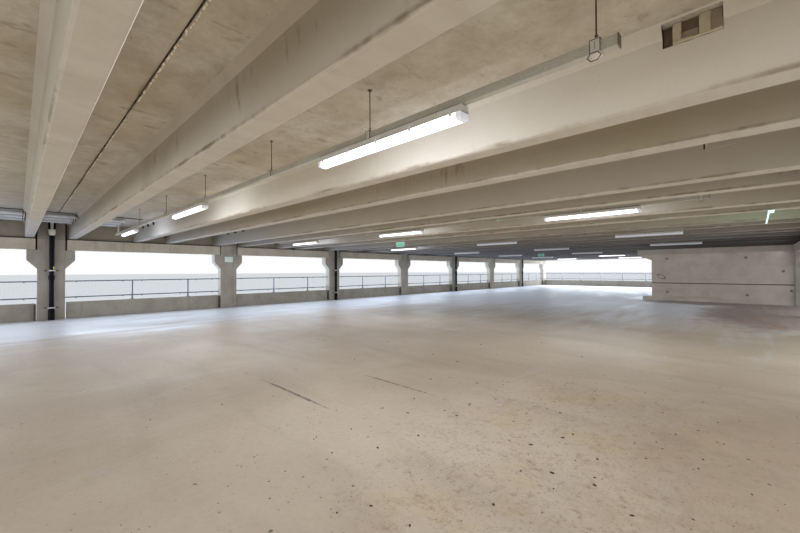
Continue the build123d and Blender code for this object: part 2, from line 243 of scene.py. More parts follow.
# %% Concrete recipe
def concrete(name, body, dark, pale):
    """A started concrete finish and its colour and height, to be finished by the caller."""
    made = Finish(name)
    broad = made.clouds(0.45, 3.0, distortion=0.4).ramp(0.36, 0.66)
    mottle = made.clouds(2.6, 6.0, roughness=0.62).ramp(0.38, 0.70)
    damp = made.clouds(1.1, 5.0, roughness=0.68, distortion=0.8).ramp(0.55, 0.74)
    fine = made.clouds(38.0, 3.0)
    colour = made.mix(broad * 0.55, body, pale)
    colour = made.mix(mottle * 0.35, colour, dark)
    colour = made.mix(damp * 0.45, colour, dark)
    colour = made.mix(fine.ramp(0.35, 0.75) * 0.22, colour, dark)
    chance = made.cells(21.0, output="Color")
    rare = made.node("ShaderNodeSeparateColor", {}, {0: chance}).ramp(0.80, 0.84)
    pinhole = made.cells(21.0).ramp(0.13, 0.05) * rare
    colour = made.mix(pinhole * 0.75, colour, tuple(0.35 * v for v in dark[:3]) + (1.0,))
    return made, colour, fine * 0.25 + mottle * 0.15 - pinhole * 0.8


print("concrete recipe ready")

# %% [markdown]
# The double tees are the ceiling of the storey. Their soffit is warm grey with brown damp near the joint
# between two units, where water has found its way down; their stems are streaked downwards and a little
# rough along the bottom arris. Distance to the nearest joint is a folded Y coordinate, so one mask
# serves all sixteen units. The bays further off and the outer end are greyer and darker, which is painted
# shade, as are the dim corner by the cross wall and the faces inside the holes.

# %% Tee concrete
UNLIT_CORNER = (6.6, 2.6, 3.6, 3.2)     # middle x and y, and reach along x and y, of a dim patch


def tee_concrete():
    made, colour, height = concrete("tee_concrete", tone(164, 152, 132), tone(120, 107, 84),
                                    tone(186, 178, 162))
    from_joint = ((made.y / tee_w + 0.5).math("FRACT") - 0.5) * tee_w
    half = from_joint.math("SIGN")
    reach = from_joint.math("ABSOLUTE")
    from_stem = from_joint - half * (tee_w - STEM_SPREAD) / 2
    damp_face = (made.facing_y * half * -1).ramp(0.3, 0.8)
    flat = (made.up * -1).ramp(0.80, 0.95)
    formed = made.up.math("ABSOLUTE").ramp(0.72, 0.45)
    side = made.up.math("ABSOLUTE").ramp(0.30, 0.12)

    ragged = made.clouds(5.0, 6.0, roughness=0.7)
    seam = made.clouds(1.1, 3.0, made.stretched(1.0, 0.2, 1.0)).ramp(0.40, 0.62)
    near_joint = (reach + ragged * 0.26).ramp(0.34, 0.12) * (seam * 0.6 + 0.4)
    seeped = (reach + ragged * 0.050).ramp(0.052, 0.030) * (seam * 0.7 + 0.3)
    smudge = made.clouds(1.0, 3.0, made.stretched(9.0, 4.0, 3.0), distortion=0.3).ramp(0.60, 0.72)
    blotch = made.clouds(1.0, 6.0, made.stretched(3.0, 2.2, 3.0), roughness=0.62).ramp(0.48, 0.68)
    grime = made.clouds(11.0, 4.0, roughness=0.6).ramp(0.46, 0.66)
    laitance = made.clouds(1.0, 5.0, made.stretched(2.4, 1.6, 1.0), roughness=0.60).ramp(0.50, 0.72)
    olive = made.clouds(0.55, 4.0, distortion=0.7).ramp(0.42, 0.66)
    colour = made.mix(olive * flat * 0.44, colour, tone(154, 139, 106))
    colour = made.mix(laitance * flat * 0.40, colour, tone(182, 174, 156))
    colour = made.mix(blotch * flat * 0.26, colour, tone(120, 105, 78))
    colour = made.mix(grime * flat * 0.13, colour, tone(114, 99, 73))
    colour = made.mix(smudge * flat * 0.42, colour, tone(98, 84, 60))
    colour = made.mix(near_joint * flat * 0.24, colour, tone(126, 109, 76))
    colour = made.mix(seeped * flat * 0.75, colour, tone(86, 68, 38))

    broad = made.clouds(0.8, 5.0, distortion=0.3)
    colour = made.mix(formed * 0.80, colour, made.mix(broad, tone(178, 168, 151), tone(164, 153, 135)))
    colour = made.mix(damp_face * formed * (olive * 0.24 + 0.06), colour, tone(132, 114, 80))
    # Painted shade: the stem sides beyond the first aisles are darker.
    shaded = made.y.ramp(-11.3, -10.3)
    colour = made.mix(shaded * formed * 0.36, colour, tone(114, 101, 82))
    one_side = made.y.ramp(-12.1, -11.8) * made.y.ramp(-10.6, -11.0)
    colour = made.mix(one_side * formed * 0.34, colour, tone(116, 96, 48))
    cluster = made.clouds(0.9, 3.0).ramp(0.46, 0.60)
    drips = made.clouds(1.0, 4.0, made.stretched(17.0, 1.0, 3.6), roughness=0.5).ramp(0.56, 0.70) * cluster
    colour = made.mix(drips * side * (damp_face * 0.50 + 0.06), colour, tone(108, 90, 60))

    foot = made.z.ramp(stem_foot + 0.020, stem_foot + 0.012)
    stripes = made.clouds(1.0, 4.0, made.stretched(7.0, 1.6, 1.0), roughness=0.6)
    colour = made.mix(foot * 0.74, colour, made.mix(stripes, tone(168, 157, 140), tone(142, 130, 112)))
    ragged_edge = made.clouds(1.0, 5.0, made.stretched(6.0, 30.0, 30.0), roughness=0.65)
    low_side = made.z.ramp(stem_foot + 0.040, stem_foot + 0.020)
    near_arris = (from_stem + ragged_edge * 0.046).ramp(-0.052, -0.062) * low_side
    worn = made.clouds(1.0, 4.0, made.stretched(1.6, 0.3, 0.3), roughness=0.7).ramp(0.44, 0.62)
    chips = near_arris * worn * (damp_face * 0.3 + 0.7)
    colour = made.mix(chips * 0.82, colour, tone(96, 78, 52))
    # Painted highlight on the chamfer of each stem foot that faces towards +y, where the light catches it.
    arris_highlight = foot * made.facing_y.ramp(0.45, 0.62) * worn.ramp(1.0, 0.4, 0.55, 1.0)
    colour = made.mix(arris_highlight * 0.9, colour, tone(232, 224, 208))

    # Painted shade: the soffit and stems turn darker and cooler towards the outer side.
    outer_end_shade = made.x.ramp(1.0, -7.0)
    colour = made.mix(outer_end_shade * 0.50, colour, tone(138, 136, 138))
    # Painted shade: the further bays are darker and greyer.
    far_bays_shade = made.y.ramp(-8.0, 2.0)
    colour = made.mix(far_bays_shade * 0.72, colour, tone(98, 94, 97))
    # Painted shade: a dark patch on the soffit in the corner by the cross wall.
    unlit_corner = made.spot(*UNLIT_CORNER, (made.clouds(0.8, 3.0) - 0.5) * 0.4)
    colour = made.mix(unlit_corner * 0.80, colour, tone(76, 69, 64))
    # Painted shade: faces inside the holes and slots of the stems, and faces that look up, are dark.
    hole_shade = made.facing_x.math("ABSOLUTE").ramp(0.80, 0.95) * made.x.math("ABSOLUTE").ramp(7.3, 7.2)
    colour = made.mix(hole_shade.bigger(made.up.ramp(0.85, 0.95)), colour, tone(64, 52, 38))
    return made.set(base_color=colour, roughness=0.86, normal=made.bump(height - chips * 1.5, 0.35, 0.004))


print("tee recipe ready, joints every", round(tee_w, 3))

# %% [markdown]
# The floor is a worn power floated slab: warm beige, smoother than the precast units, with broad clouds,
# dark crumbs of dirt and two tyre marks. Rain that blows in has washed it pale and smooth near the
# openings, and a cool painted sheen of the daylight lies on it there and at the far end. Each mark is a
# soft ellipse whose edge noise makes ragged.

# %% Floor concrete
SCUFFED = (5.4, -12.1, 1.3, 1.9)        # middle x and y, and reach along x and y, of each mark
DULL = (7.0, -11.9, 1.3, 2.4)
BROWN = ((7.0, 0.4, 1.9, 4.4), (5.6, 4.0, 2.6, 1.3))
TYRE_MARKS = ((2.86, -12.97, 0.66, 0.022), (3.42, -11.98, 0.56, 0.013))


def flecks(made, scale, size, rarity):
    """Scattered dark crumbs: one for each cell that the rarity leaves."""
    chance = made.cells(scale, output="Color", axes="2D")
    rare = made.node("ShaderNodeSeparateColor", {}, {0: chance}).ramp(rarity, rarity + 0.02)
    edge = made.clouds(scale * 9.0, 3.0) * size
    return (made.cells(scale, axes="2D") + edge).ramp(size * 1.5, size * 1.1) * rare


def floor_concrete():
    made = Finish("floor_concrete")
    broad = made.clouds(0.22, 4.0, distortion=0.6).ramp(0.35, 0.66)
    worn = made.clouds(0.9, 6.0, roughness=0.62, distortion=0.5).ramp(0.42, 0.70)
    fine = made.clouds(30.0, 4.0)
    colour = made.mix(broad, tone(188, 171, 149), tone(170, 153, 132))
    colour = made.mix(worn * 0.42, colour, tone(200, 186, 165))
    colour = made.mix(fine.ramp(0.40, 0.70) * 0.14, colour, tone(146, 130, 108))
    swept = made.clouds(1.0, 6.0, made.stretched(0.35, 1.6, 1.0), roughness=0.6, distortion=0.4)
    colour = made.mix(swept.ramp(0.46, 0.70) * 0.42, colour, tone(156, 139, 119))
    # Pale, cool and smooth near the openings and at the far end: partly rain wash, partly a painted sheen of
    # the daylight.
    beside_row = made.x.ramp(outer_face + 6.5, outer_face + 1.5)
    rain_wash_and_sheen = beside_row.bigger(made.y.ramp(lines[-1] - 29.0, lines[-1] - 15.0))
    damp = made.clouds(1.0, 6.0, made.stretched(2.6, 0.45, 1.0), roughness=0.62, distortion=0.5)
    colour = made.mix((rain_wash_and_sheen + (damp - 0.5) * 1.6).ramp(0.1, 0.9) * 0.66, colour, tone(200, 203, 210))
    # A painted sheen of the daylight on the far floor.
    far_sheen = made.y.ramp(-7.0, 4.0) * made.x.ramp(7.0, 4.6)
    colour = made.mix(far_sheen * 0.8, colour, tone(238, 240, 245))
    ragged = made.clouds(2.2, 6.0, roughness=0.7) - 0.5
    scuffed = made.spot(*SCUFFED, ragged * 1.6)
    stained = made.clouds(1.7, 5.0, roughness=0.7).ramp(0.48, 0.64)
    colour = made.mix(scuffed * stained * 0.30, colour, tone(178, 156, 112))
    veins = (made.clouds(2.6, 6.0, roughness=0.66, distortion=0.6) - 0.5).math("ABSOLUTE")
    colour = made.mix(scuffed * veins.ramp(0.020, 0.004) * 0.16, colour, tone(112, 90, 62))
    crazing = made.clouds(16.0, 8.0, roughness=0.8).ramp(0.55, 0.62)
    colour = made.mix(scuffed * crazing * 0.46, colour, tone(120, 98, 70))
    colour = made.mix(scuffed * flecks(made, 34.0, 0.13, 0.55) * 0.60, colour, tone(92, 76, 54))
    brown = made.spot(*BROWN[0], ragged * 0.9).bigger(made.spot(*BROWN[1], ragged))
    colour = made.mix(brown * 0.76, colour, tone(116, 88, 68))
    dull = made.spot(*DULL, ragged * 0.8)
    colour = made.mix(dull * 0.40, colour, tone(146, 124, 100))
    near_mark, far_mark = (made.spot(*mark, ragged * 2.0) for mark in TYRE_MARKS)
    rubbed = made.clouds(1.0, 4.0, made.stretched(14.0, 60.0, 1.0), roughness=0.7).ramp(0.40, 0.54)
    colour = made.mix(near_mark.bigger(far_mark) * (rubbed * 0.65 + 0.30), colour, tone(66, 52, 38))
    colour = made.mix(flecks(made, 1.7, 0.020, 0.60) * 0.85, colour, tone(76, 62, 46))
    colour = made.mix(flecks(made, 5.0, 0.034, 0.74) * 0.75, colour, tone(86, 72, 54))
    colour = made.mix(flecks(made, 16.0, 0.070, 0.84) * 0.65, colour, tone(98, 84, 66))
    roughness = fine * 0.10 + broad * 0.10 + scuffed * 0.15 + (0.5 - damp) * rain_wash_and_sheen * 0.90 + 0.44
    return made.set(base_color=colour, roughness=roughness, normal=made.bump(fine * 0.2, 0.15, 0.003))


print("floor recipe ready, tyre marks", len(TYRE_MARKS))

# %% [markdown]
# Columns and edge beams are a cooler grey than the tees, with pinholes, faint vertical runs and a line
# where one lift of the mould ends. The cross wall is paler, with a dark joint between its panels and the
# ring that a cup left, and the topping is a plain wearing surface in the open.

# %% Frame, wall and topping concrete
RING_X = 3.56
RING_RISE = 1.045        # above the floor
RING_REACH = (0.140, 0.085)


def frame_concrete(name, body, dark, pale):
    made, colour, height = concrete(name, body, dark, pale)
    runs = made.clouds(1.0, 4.0, made.stretched(6.0, 6.0, 0.5)).ramp(0.55, 0.75)
    colour = made.mix(runs * 0.30, colour, tone(108, 99, 84))
    # Painted shade above the level of the ledgers, where the stems keep the light off.
    shade_above_ledger = made.z.ramp(stem_foot - 0.03, stem_foot + 0.01) * made.z.ramp(deck, deck - 0.02)
    colour = made.mix(shade_above_ledger * 0.40, colour, tone(104, 94, 80))
    lift_line = (made.z - stem_foot + 0.02).math("ABSOLUTE").ramp(0.012, 0.004)
    colour = made.mix(lift_line * 0.45, colour, tone(84, 76, 66))
    return made.set(base_color=colour, roughness=0.9, normal=made.bump(height, 0.4, 0.004))


def wall_concrete():
    made, colour, height = concrete("wall_concrete", tone(194, 179, 163), tone(156, 142, 126),
                                    tone(208, 195, 181))
    level_marks = made.clouds(1.0, 4.0, made.stretched(0.8, 0.8, 5.0)).ramp(0.55, 0.75)
    colour = made.mix(level_marks * 0.25, colour, tone(118, 106, 92))
    wobble = made.clouds(3.0, 3.0) * 0.010 - 0.005
    panel_joint = (made.z - floor - WALL_JOINT_H + wobble).math("ABSOLUTE").ramp(0.026, 0.012)
    colour = made.mix(panel_joint * 0.85, colour, tone(52, 46, 40))
    across = (made.x - RING_X) / RING_REACH[0]
    upward = (made.z - floor - RING_RISE + (made.x - RING_X) * 0.4) / RING_REACH[1]
    ring = ((across * across + upward * upward).math("SQRT") - 1.0).math("ABSOLUTE").ramp(0.34, 0.10)
    colour = made.mix(ring * 0.60, colour, tone(84, 75, 66))
    return made.set(base_color=colour, roughness=0.9, normal=made.bump(height, 0.4, 0.004))


def topping_concrete():
    made, colour, height = concrete("topping_concrete", tone(168, 164, 156), tone(132, 127, 118),
                                    tone(188, 185, 178))
    joint = (made.y / tee_w + 0.5).math("FRACT")
    reach = (joint - 0.5).math("ABSOLUTE") * tee_w
    sealant = reach.ramp(0.009, 0.007)
    colour = made.mix(sealant * 0.8, colour, tone(70, 68, 64))
    return made.set(base_color=colour, roughness=0.85, normal=made.bump(height, 0.3, 0.004))


print("frame, wall and topping recipes ready")

# %% [markdown]
# Hot dip galvanising shows as a dull grey with large pale crystals, and painted and moulded things carry
# dust and faint scratches. Metal and paint differ in the metallic socket, not in the colour alone. Covers
# of lamps and lit signs glow a little, with ribs across them; covers of lamps that are off and the tube
# holders glow faintly too, which on the lamps that are off is painted glow.

# %% Metal, paint, rubber and plastic
def galvanised(name, body, pale, metal, roughness):
    made = Finish(name)
    spangle = made.cells(90.0, output="Color")
    grey = made.node("ShaderNodeSeparateColor", {}, {0: spangle})
    dust = made.clouds(6.0, 5.0).ramp(0.45, 0.70)
    colour = made.mix(grey * 0.6, body, pale)
    colour = made.mix(dust * 0.35, colour, tone(128, 120, 106))
    return made.set(base_color=colour, metallic=metal, roughness=grey * 0.15 + dust * 0.15 + roughness)


def painted(name, body, dark, roughness, dust_share=0.35):
    made = Finish(name)
    dust = made.clouds(7.0, 6.0, roughness=0.65).ramp(0.45, 0.72)
    scratch = made.clouds(1.0, 4.0, made.stretched(60.0, 60.0, 9.0)).ramp(0.64, 0.72)
    colour = made.mix(dust * dust_share, body, dark)
    colour = made.mix(scratch * 0.25, colour, dark)
    return made.set(base_color=colour, roughness=dust * 0.25 + roughness,
                    normal=made.bump(scratch, 0.1, 0.001))


def glowing(name, body, edge, strength):
    made = Finish(name)
    ribs = (made.y * 180.0).math("SINE") * 0.5 + 0.5
    dust = made.clouds(9.0, 4.0).ramp(0.45, 0.72)
    colour = made.mix(ribs * 0.3, body, edge)
    colour = made.mix(dust * 0.15, colour, tone(176, 170, 156))
    made.set(base_color=colour, roughness=0.35, emission_color=colour)
    made.surface.inputs["Emission Strength"].default_value = strength
    return made.material


print("metal, paint and glow recipes ready")

# %% [markdown]
# The dictionary makes every finish once and keeps it by name: first the ones that the frame's record
# asks for, and between them those of the new pieces. The black pipes are dull, so their specular level,
# which is the same all over, is set on the shader's own socket.

# %% Finishes
FINISHES = {
    "floor_concrete": floor_concrete(),
    "topping_concrete": topping_concrete(),
    "tee_concrete": tee_concrete(),
    "frame_concrete": frame_concrete("frame_concrete", tone(158, 150, 137), tone(118, 109, 95),
                                     tone(178, 171, 159)),
    # The edge beams take a paler copy of the column concrete, painted light for the brighter light on their
    # faces.
    "beam_concrete_painted_light": frame_concrete("beam_concrete_painted_light", tone(184, 173, 155), tone(144, 132, 114),
                                    tone(200, 191, 176)),
    "wall_concrete": wall_concrete(),
    "mortar": painted("mortar", tone(118, 104, 84), tone(84, 70, 54), 0.9),
    "wall_pocket_shade": painted("wall_pocket_shade", tone(126, 116, 104), tone(92, 82, 72), 0.9, 0.7),
    "mortar_mid": painted("mortar_mid", tone(154, 140, 114), tone(112, 97, 72), 0.9, 0.6),
    "grit": painted("grit", tone(64, 51, 37), tone(40, 32, 24), 0.9),
    "mortar_pale": painted("mortar_pale", tone(206, 194, 168), tone(160, 144, 114), 0.9),
    "dark_seam_and_shadow": painted("dark_seam_and_shadow", tone(34, 24, 13), tone(92, 71, 42), 0.9, 0.7),
    "joint_strip_and_hollow_shade": painted("joint_strip_and_hollow_shade", tone(84, 68, 50), tone(58, 46, 32), 0.9),
    "aged_rod": painted("aged_rod", tone(78, 66, 48), tone(50, 40, 28), 0.6),
    "bearing_rubber": painted("bearing_rubber", tone(48, 46, 43), tone(78, 72, 64), 0.7),
    "galvanised_steel": galvanised("galvanised_steel", tone(112, 120, 130), tone(146, 152, 158), 0.6, 0.42),
    "trunking_steel": galvanised("trunking_steel", tone(149, 142, 125), tone(165, 158, 142), 0.0, 0.55),
    "trunking_cap": painted("trunking_cap", tone(86, 77, 62), tone(60, 52, 40), 0.6),
    "conduit_zinc": galvanised("conduit_zinc", tone(188, 192, 198), tone(204, 208, 212), 0.05, 0.50),
    "stirrup_zinc": painted("stirrup_zinc", tone(178, 169, 154), tone(140, 130, 114), 0.5),
    "strap_zinc": galvanised("strap_zinc", tone(196, 194, 188), tone(214, 212, 206), 0.10, 0.45),
    "black_pipe": painted("black_pipe", tone(8, 8, 13), tone(18, 19, 27), 0.34, 0.1),
    "tag_yellow": painted("tag_yellow", tone(226, 204, 112), tone(176, 154, 76), 0.5),
    "cream_pipe": painted("cream_pipe", tone(232, 225, 210), tone(178, 168, 150), 0.4),
    "luminaire_body": painted("luminaire_body", tone(180, 172, 162), tone(142, 133, 122), 0.5),
    "luminaire_diffuser": glowing("luminaire_diffuser", tone(255, 254, 252), tone(244, 244, 244), 1.5),
    "luminaire_end_glow": glowing("luminaire_end_glow", tone(214, 212, 214), tone(190, 188, 194), 0.15),
    "luminaire_off_painted_glow": glowing("luminaire_off_painted_glow", tone(204, 202, 206), tone(184, 184, 190), 0.12),
    "sign_green": painted("sign_green", tone(128, 204, 168), tone(96, 172, 138), 0.35),
    "sign_rim": painted("sign_rim", tone(176, 222, 200), tone(140, 190, 166), 0.35),
    "sign_lit": glowing("sign_lit", tone(206, 232, 236), tone(176, 214, 222), 0.8),
    "sign_white": painted("sign_white", tone(228, 232, 226), tone(180, 180, 170), 0.4),
}
pipe_surface = FINISHES["black_pipe"].node_tree.nodes["Principled BSDF"]
pipe_surface.inputs["Specular IOR Level"].default_value = 0.12
print("finishes", len(FINISHES))

# %% [markdown]
# Every unit of the frame names its finish in the record, so the record decides which material each one
# gets. The mesh stays as it is and only its material slot changes.

# %% Dress the frame's own units
slot_of = {part["node"]: part["material_slot"] for part in frame["record"]["subparts"]}
for name, unit in node.items():
    unit.data.materials.clear()
    unit.data.materials.append(FINISHES[slot_of[name]])
print("dressed", len(slot_of))

# %% [markdown]
# New pieces are modelled as meshes at their true place. Small lumps are made in a mesh of their own and
# gathered, because each operator walks the whole mesh that it works on.

# %% Mesh helpers
def block(mesh, low, high):
    """A box between two corners; returns its vertices."""
    low, high = Vector(low), Vector(high)
    verts = bmesh.ops.create_cube(mesh, size=1)["verts"]
    bmesh.ops.scale(mesh, vec=high - low, verts=verts)
    bmesh.ops.translate(mesh, vec=(low + high) / 2, verts=verts)
    return verts


def bevelled(mesh, edges, width, segments):
    """Rounds these edges, or chamfers them with one segment."""
    bmesh.ops.bevel(mesh, geom=list(edges), offset=width, segments=segments, profile=0.5,
                    affect="EDGES", clamp_overlap=True, material=-1)


def soften(mesh, verts, width, segments=2):
    """Rounds every edge of the shape that has these vertices."""
    bevelled(mesh, {edge for vert in verts for edge in vert.link_edges}, width, segments)


def round_bar(mesh, start, end, radius, sides):
    """A round bar between two points."""
    start, end = Vector(start), Vector(end)
    path = end - start
    where = Matrix.Translation((start + end) / 2) @ path.to_track_quat("Z", "Y").to_matrix().to_4x4()
    bmesh.ops.create_cone(mesh, cap_ends=True, cap_tris=False, segments=sides, radius1=radius,
                          radius2=radius, depth=path.length, matrix=where)


def repeated(mesh, shifts):
    """The whole mesh again at each shift."""
    pattern = bpy.data.meshes.new("pattern")
    mesh.to_mesh(pattern)
    mesh.clear()
    for shift in shifts:
        before = len(mesh.verts)
        mesh.from_mesh(pattern)
        mesh.verts.ensure_lookup_table()
        bmesh.ops.translate(mesh, vec=shift, verts=mesh.verts[before:])
    bpy.data.meshes.remove(pattern)


def gathered(mesh, part):
    """Adds a finished part to a larger mesh."""
    kept = bpy.data.meshes.new("part")
    part.to_mesh(kept)
    part.free()
    mesh.from_mesh(kept)
    bpy.data.meshes.remove(kept)


def piece(name, mesh, slot, stands_for=(), crease=35, finish=None):
    """Closes a mesh as a piece of the building; its finish is the slot's, unless another is named."""
    bmesh.ops.recalc_face_normals(mesh, faces=mesh.faces)
    data = bpy.data.meshes.new(name)
    mesh.to_mesh(data)
    mesh.free()
    data.shade_smooth()
    data.set_sharp_from_angle(angle=radians(crease))
    data.materials.append(FINISHES[finish or slot])
    made = bpy.data.objects.new(name, data)
    bpy.context.scene.collection.objects.link(made)
    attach(made, "root")
    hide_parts(*stands_for)
    print(name, "triangles", sum(len(face.vertices) - 2 for face in data.polygons))


print("helpers ready, finishes to choose from", len(FINISHES))

# %% [markdown]
# Each luminaire is a weatherproof batten: a grey tray with rounded ends, a milky cover pressed on from
# below and steel clips along its sides. The outline is a softened box, because the moulding has one
# radius all round, and the whole lamp is repeated along the runs from one pattern.

# %% Luminaires
LAMP_L = 1.5
LAMP_PITCH = 4.4
UNLIT = (10, 11, 12, 13, 14, 15, 16, 17, 18, 20, 23)    # lamps that are off, counted along the runs
TRAY_W = 0.090
TRAY_FIXING = 0.42       # of each fixing from the lamp's middle
LIP_H = 0.010
lamp_low, lamp_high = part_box("luminaire_bodies")
lens_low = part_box("luminaire_diffusers")[0]
lamp_middle = (lamp_low.x + lamp_high.x) / 2
lamp_places = [Vector((lamp_middle + i * LAMP_PITCH, y, 0)) for y in run_lines for i in (-1, 0, 1)]

tray = bmesh.new()
rim_z = lamp_low.z
block(tray, (-LAMP_L / 2, -TRAY_W / 2, rim_z), (LAMP_L / 2, TRAY_W / 2, lamp_high.z))
bevelled(tray, [e for e in tray.edges if all(v.co.z > rim_z + 0.01 for v in e.verts)], 0.018, 3)
uprights = [e for e in tray.edges if abs(e.verts[0].co.z - e.verts[1].co.z) > 0.01
            and abs(abs(e.verts[0].co.x) - LAMP_L / 2) < 0.001
            and abs(abs(e.verts[0].co.y) - TRAY_W / 2) < 0.001]
bevelled(tray, uprights, 0.020, 3)
soften(tray, block(tray, (-LAMP_L / 2, -TRAY_W / 2, rim_z), (LAMP_L / 2, TRAY_W / 2, rim_z + LIP_H)), 0.004)
for x in (-TRAY_FIXING, TRAY_FIXING):
    round_bar(tray, (x, 0, lamp_high.z - 0.012), (x, 0, lamp_high.z), 0.016, 12)
repeated(tray, lamp_places)
piece("luminaire_trays", tray, "luminaire_body", ["luminaire_bodies"])

# %% [markdown]
# The cover is the part that glows. It is drawn as a deep trough with a soft bottom and closed ends, a
# little narrower than the tray. Some of the lamps are off, so their covers are a second piece with a
# dull finish that still has a faint painted glow.

# %% Luminaire covers
LENS_W = 0.080
LENS_ROUND = 0.026


def cover_set(name, places, finish, stands_for=()):
    """The covers of some of the lamps."""
    cover = bmesh.new()
    block(cover, (-LAMP_L / 2 + 0.010, -LENS_W / 2, lens_low.z), (LAMP_L / 2 - 0.010, LENS_W / 2, rim_z))
    bevelled(cover, [e for e in cover.edges if all(v.co.z < rim_z - 0.01 for v in e.verts)], LENS_ROUND, 5)
    repeated(cover, places)
    piece(name, cover, "luminaire_diffuser", stands_for, finish=finish)


cover_set("luminaire_covers_lit", [v for i, v in enumerate(lamp_places) if i not in UNLIT],
          "luminaire_diffuser", ["luminaire_diffusers"])
cover_set("luminaire_covers_off", [lamp_places[i] for i in UNLIT], "luminaire_off_painted_glow")

# %% [markdown]
# The holder of the tube shows grey through the last few centimetres of the cover. It is a short length
# of the same trough, a hair larger, at both ends, and glows faintly, on the lamps that are off as well,
# where the glow is painted.

# %% Lamp holders
HOLDER_L = 0.045
holders = bmesh.new()
for side in (-1, 1):
    ends = sorted((side * (LAMP_L / 2 - 0.009), side * (LAMP_L / 2 - HOLDER_L)))
    shape = block(holders, (ends[0], -LENS_W / 2 - 0.001, lens_low.z - 0.0005),
                  (ends[1], LENS_W / 2 + 0.001, rim_z))
    low_edges = {e for v in shape for e in v.link_edges if all(w.co.z < rim_z - 0.01 for w in e.verts)}
    bevelled(holders, low_edges, LENS_ROUND, 5)
repeated(holders, lamp_places)
piece("luminaire_holders", holders, "luminaire_body", finish="luminaire_end_glow")

# %% [markdown]
# Steel clips press the cover to the tray along both sides, and two straps hold the tray to the trunking.

# %% Luminaire clips
CLIPS = 5
strap_z = lamp_high.z - 0.002
clips = bmesh.new()
for i in range(CLIPS):
    x = (i - (CLIPS - 1) / 2) * (LAMP_L - 0.16) / (CLIPS - 1)
    for side in (-1, 1):
        low = (x - 0.010, side * TRAY_W / 2 - 0.002, rim_z - 0.016)
        high = (x + 0.010, side * TRAY_W / 2 + 0.002, rim_z + 0.022)
        soften(clips, block(clips, low, high), 0.0012, 1)
for x in (-TRAY_FIXING, TRAY_FIXING):
    round_bar(clips, (x, -0.034, strap_z), (x, 0.034, strap_z), 0.005, 8)
repeated(clips, lamp_places)
piece("luminaire_clips", clips, "galvanised_steel", finish="strap_zinc")

# %% [markdown]
# The lighting trunking is a shallow steel channel with a lid, joined every three metres by a sleeve. A
# long box with rounded arrises would do for the channel alone, but the lid and the sleeves are what make
# it read as trunking from below.

# %% Trunking
TRUNK_W = 0.042
SLEEVE_PITCH = 3.0
SLEEVE_REACH = 0.045
trunk_low, trunk_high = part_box("trunking")
trunk_end = trunk_high.x


def across_trunk(mesh, start, end, proud, low, high):
    """A block from start to end of the trunking that stands proud of both sides; returns its vertices."""
    return block(mesh, (start, -TRUNK_W / 2 - proud, low), (end, TRUNK_W / 2 + proud, high))


trunk = bmesh.new()
channel = across_trunk(trunk, -trunk_end, trunk_end, 0, trunk_low.z, trunk_high.z - 0.004)
soften(trunk, channel, 0.002, 1)
lid = across_trunk(trunk, -trunk_end, trunk_end, 0.001, trunk_high.z - 0.012, trunk_high.z)
soften(trunk, lid, 0.001, 1)
for i in (-1, 0, 1):
    x = i * SLEEVE_PITCH
    soften(trunk, across_trunk(trunk, x - SLEEVE_REACH, x + SLEEVE_REACH, 0.0015, trunk_low.z - 0.0015,
                               trunk_high.z - 0.014), 0.0010, 1)
repeated(trunk, [(0, y, 0) for y in run_lines])
piece("trunking_runs", trunk, "trunking_steel", ["trunking"])

# %% [markdown]
# A dark cap shuts each end of a run, and a strip of painted shadow runs along the trunking over every
# lamp, for the shadow in the narrow gap where the lamp doesn't quite touch. Both are thin blocks that
# stand a little proud of the channel.

# %% Trunking caps and painted shadow gaps
CAP_T = 0.006
caps = bmesh.new()
for side in (-1, 1):
    ends = sorted((side * (trunk_end - CAP_T), side * trunk_end))
    soften(caps, across_trunk(caps, *ends, 0.002, trunk_low.z - 0.003, trunk_high.z + 0.003), 0.0015, 1)
repeated(caps, [(0, y, 0) for y in run_lines])
piece("trunking_caps", caps, "bearing_rubber", finish="trunking_cap")

gap_shadows = bmesh.new()
across_trunk(gap_shadows, -LAMP_L / 2 + 0.02, LAMP_L / 2 - 0.02, 0.003, trunk_low.z, trunk_low.z + 0.006)
repeated(gap_shadows, lamp_places)
piece("trunking_shadow_gaps", gap_shadows, "bearing_rubber", finish="dark_seam_and_shadow")

# %% [markdown]
# Each run hangs on threaded rods. A rod is screwed into the soffit and ends in a stirrup that is bent
# round the trunking, with a nut above. The thread is too fine to model at this size, so the rod is a
# plain round bar, and the nuts and washers carry the detail. The stirrup's pressed edges are dark with
# age, so they are a second piece of narrow strips.

# %% Hangers
HANGER_PLACES = (0.072, 0.235, 0.406, 0.570, 0.733, 0.862, 0.992)   # parts of the trunking's length
ROD_R = 0.004
STRAP_W = 0.046
STRAP_T = 0.003
EDGE_W = 0.0025
NUT_RISE = 0.022         # of the loose nut above the trunking
hanger_x = [(place - 0.5) * 2 * trunk_end for place in HANGER_PLACES]
run_places = [(x, y, 0) for y in run_lines for x in hanger_x]
crown = trunk_high.z + 0.012

rods = bmesh.new()
round_bar(rods, (0, 0, crown), (0, 0, soffit), ROD_R, 8)
round_bar(rods, (0, 0, soffit - 0.004), (0, 0, soffit), 0.017, 12)
round_bar(rods, (0, 0, soffit - 0.012), (0, 0, soffit - 0.004), 0.009, 6)
round_bar(rods, (0, 0, crown + STRAP_T), (0, 0, crown + STRAP_T + 0.008), 0.009, 6)
round_bar(rods, (0, 0, crown + NUT_RISE), (0, 0, crown + NUT_RISE + 0.006), 0.008, 6)
repeated(rods, run_places)
piece("hanger_threads", rods, "galvanised_steel", ["hanger_rods"], finish="aged_rod")

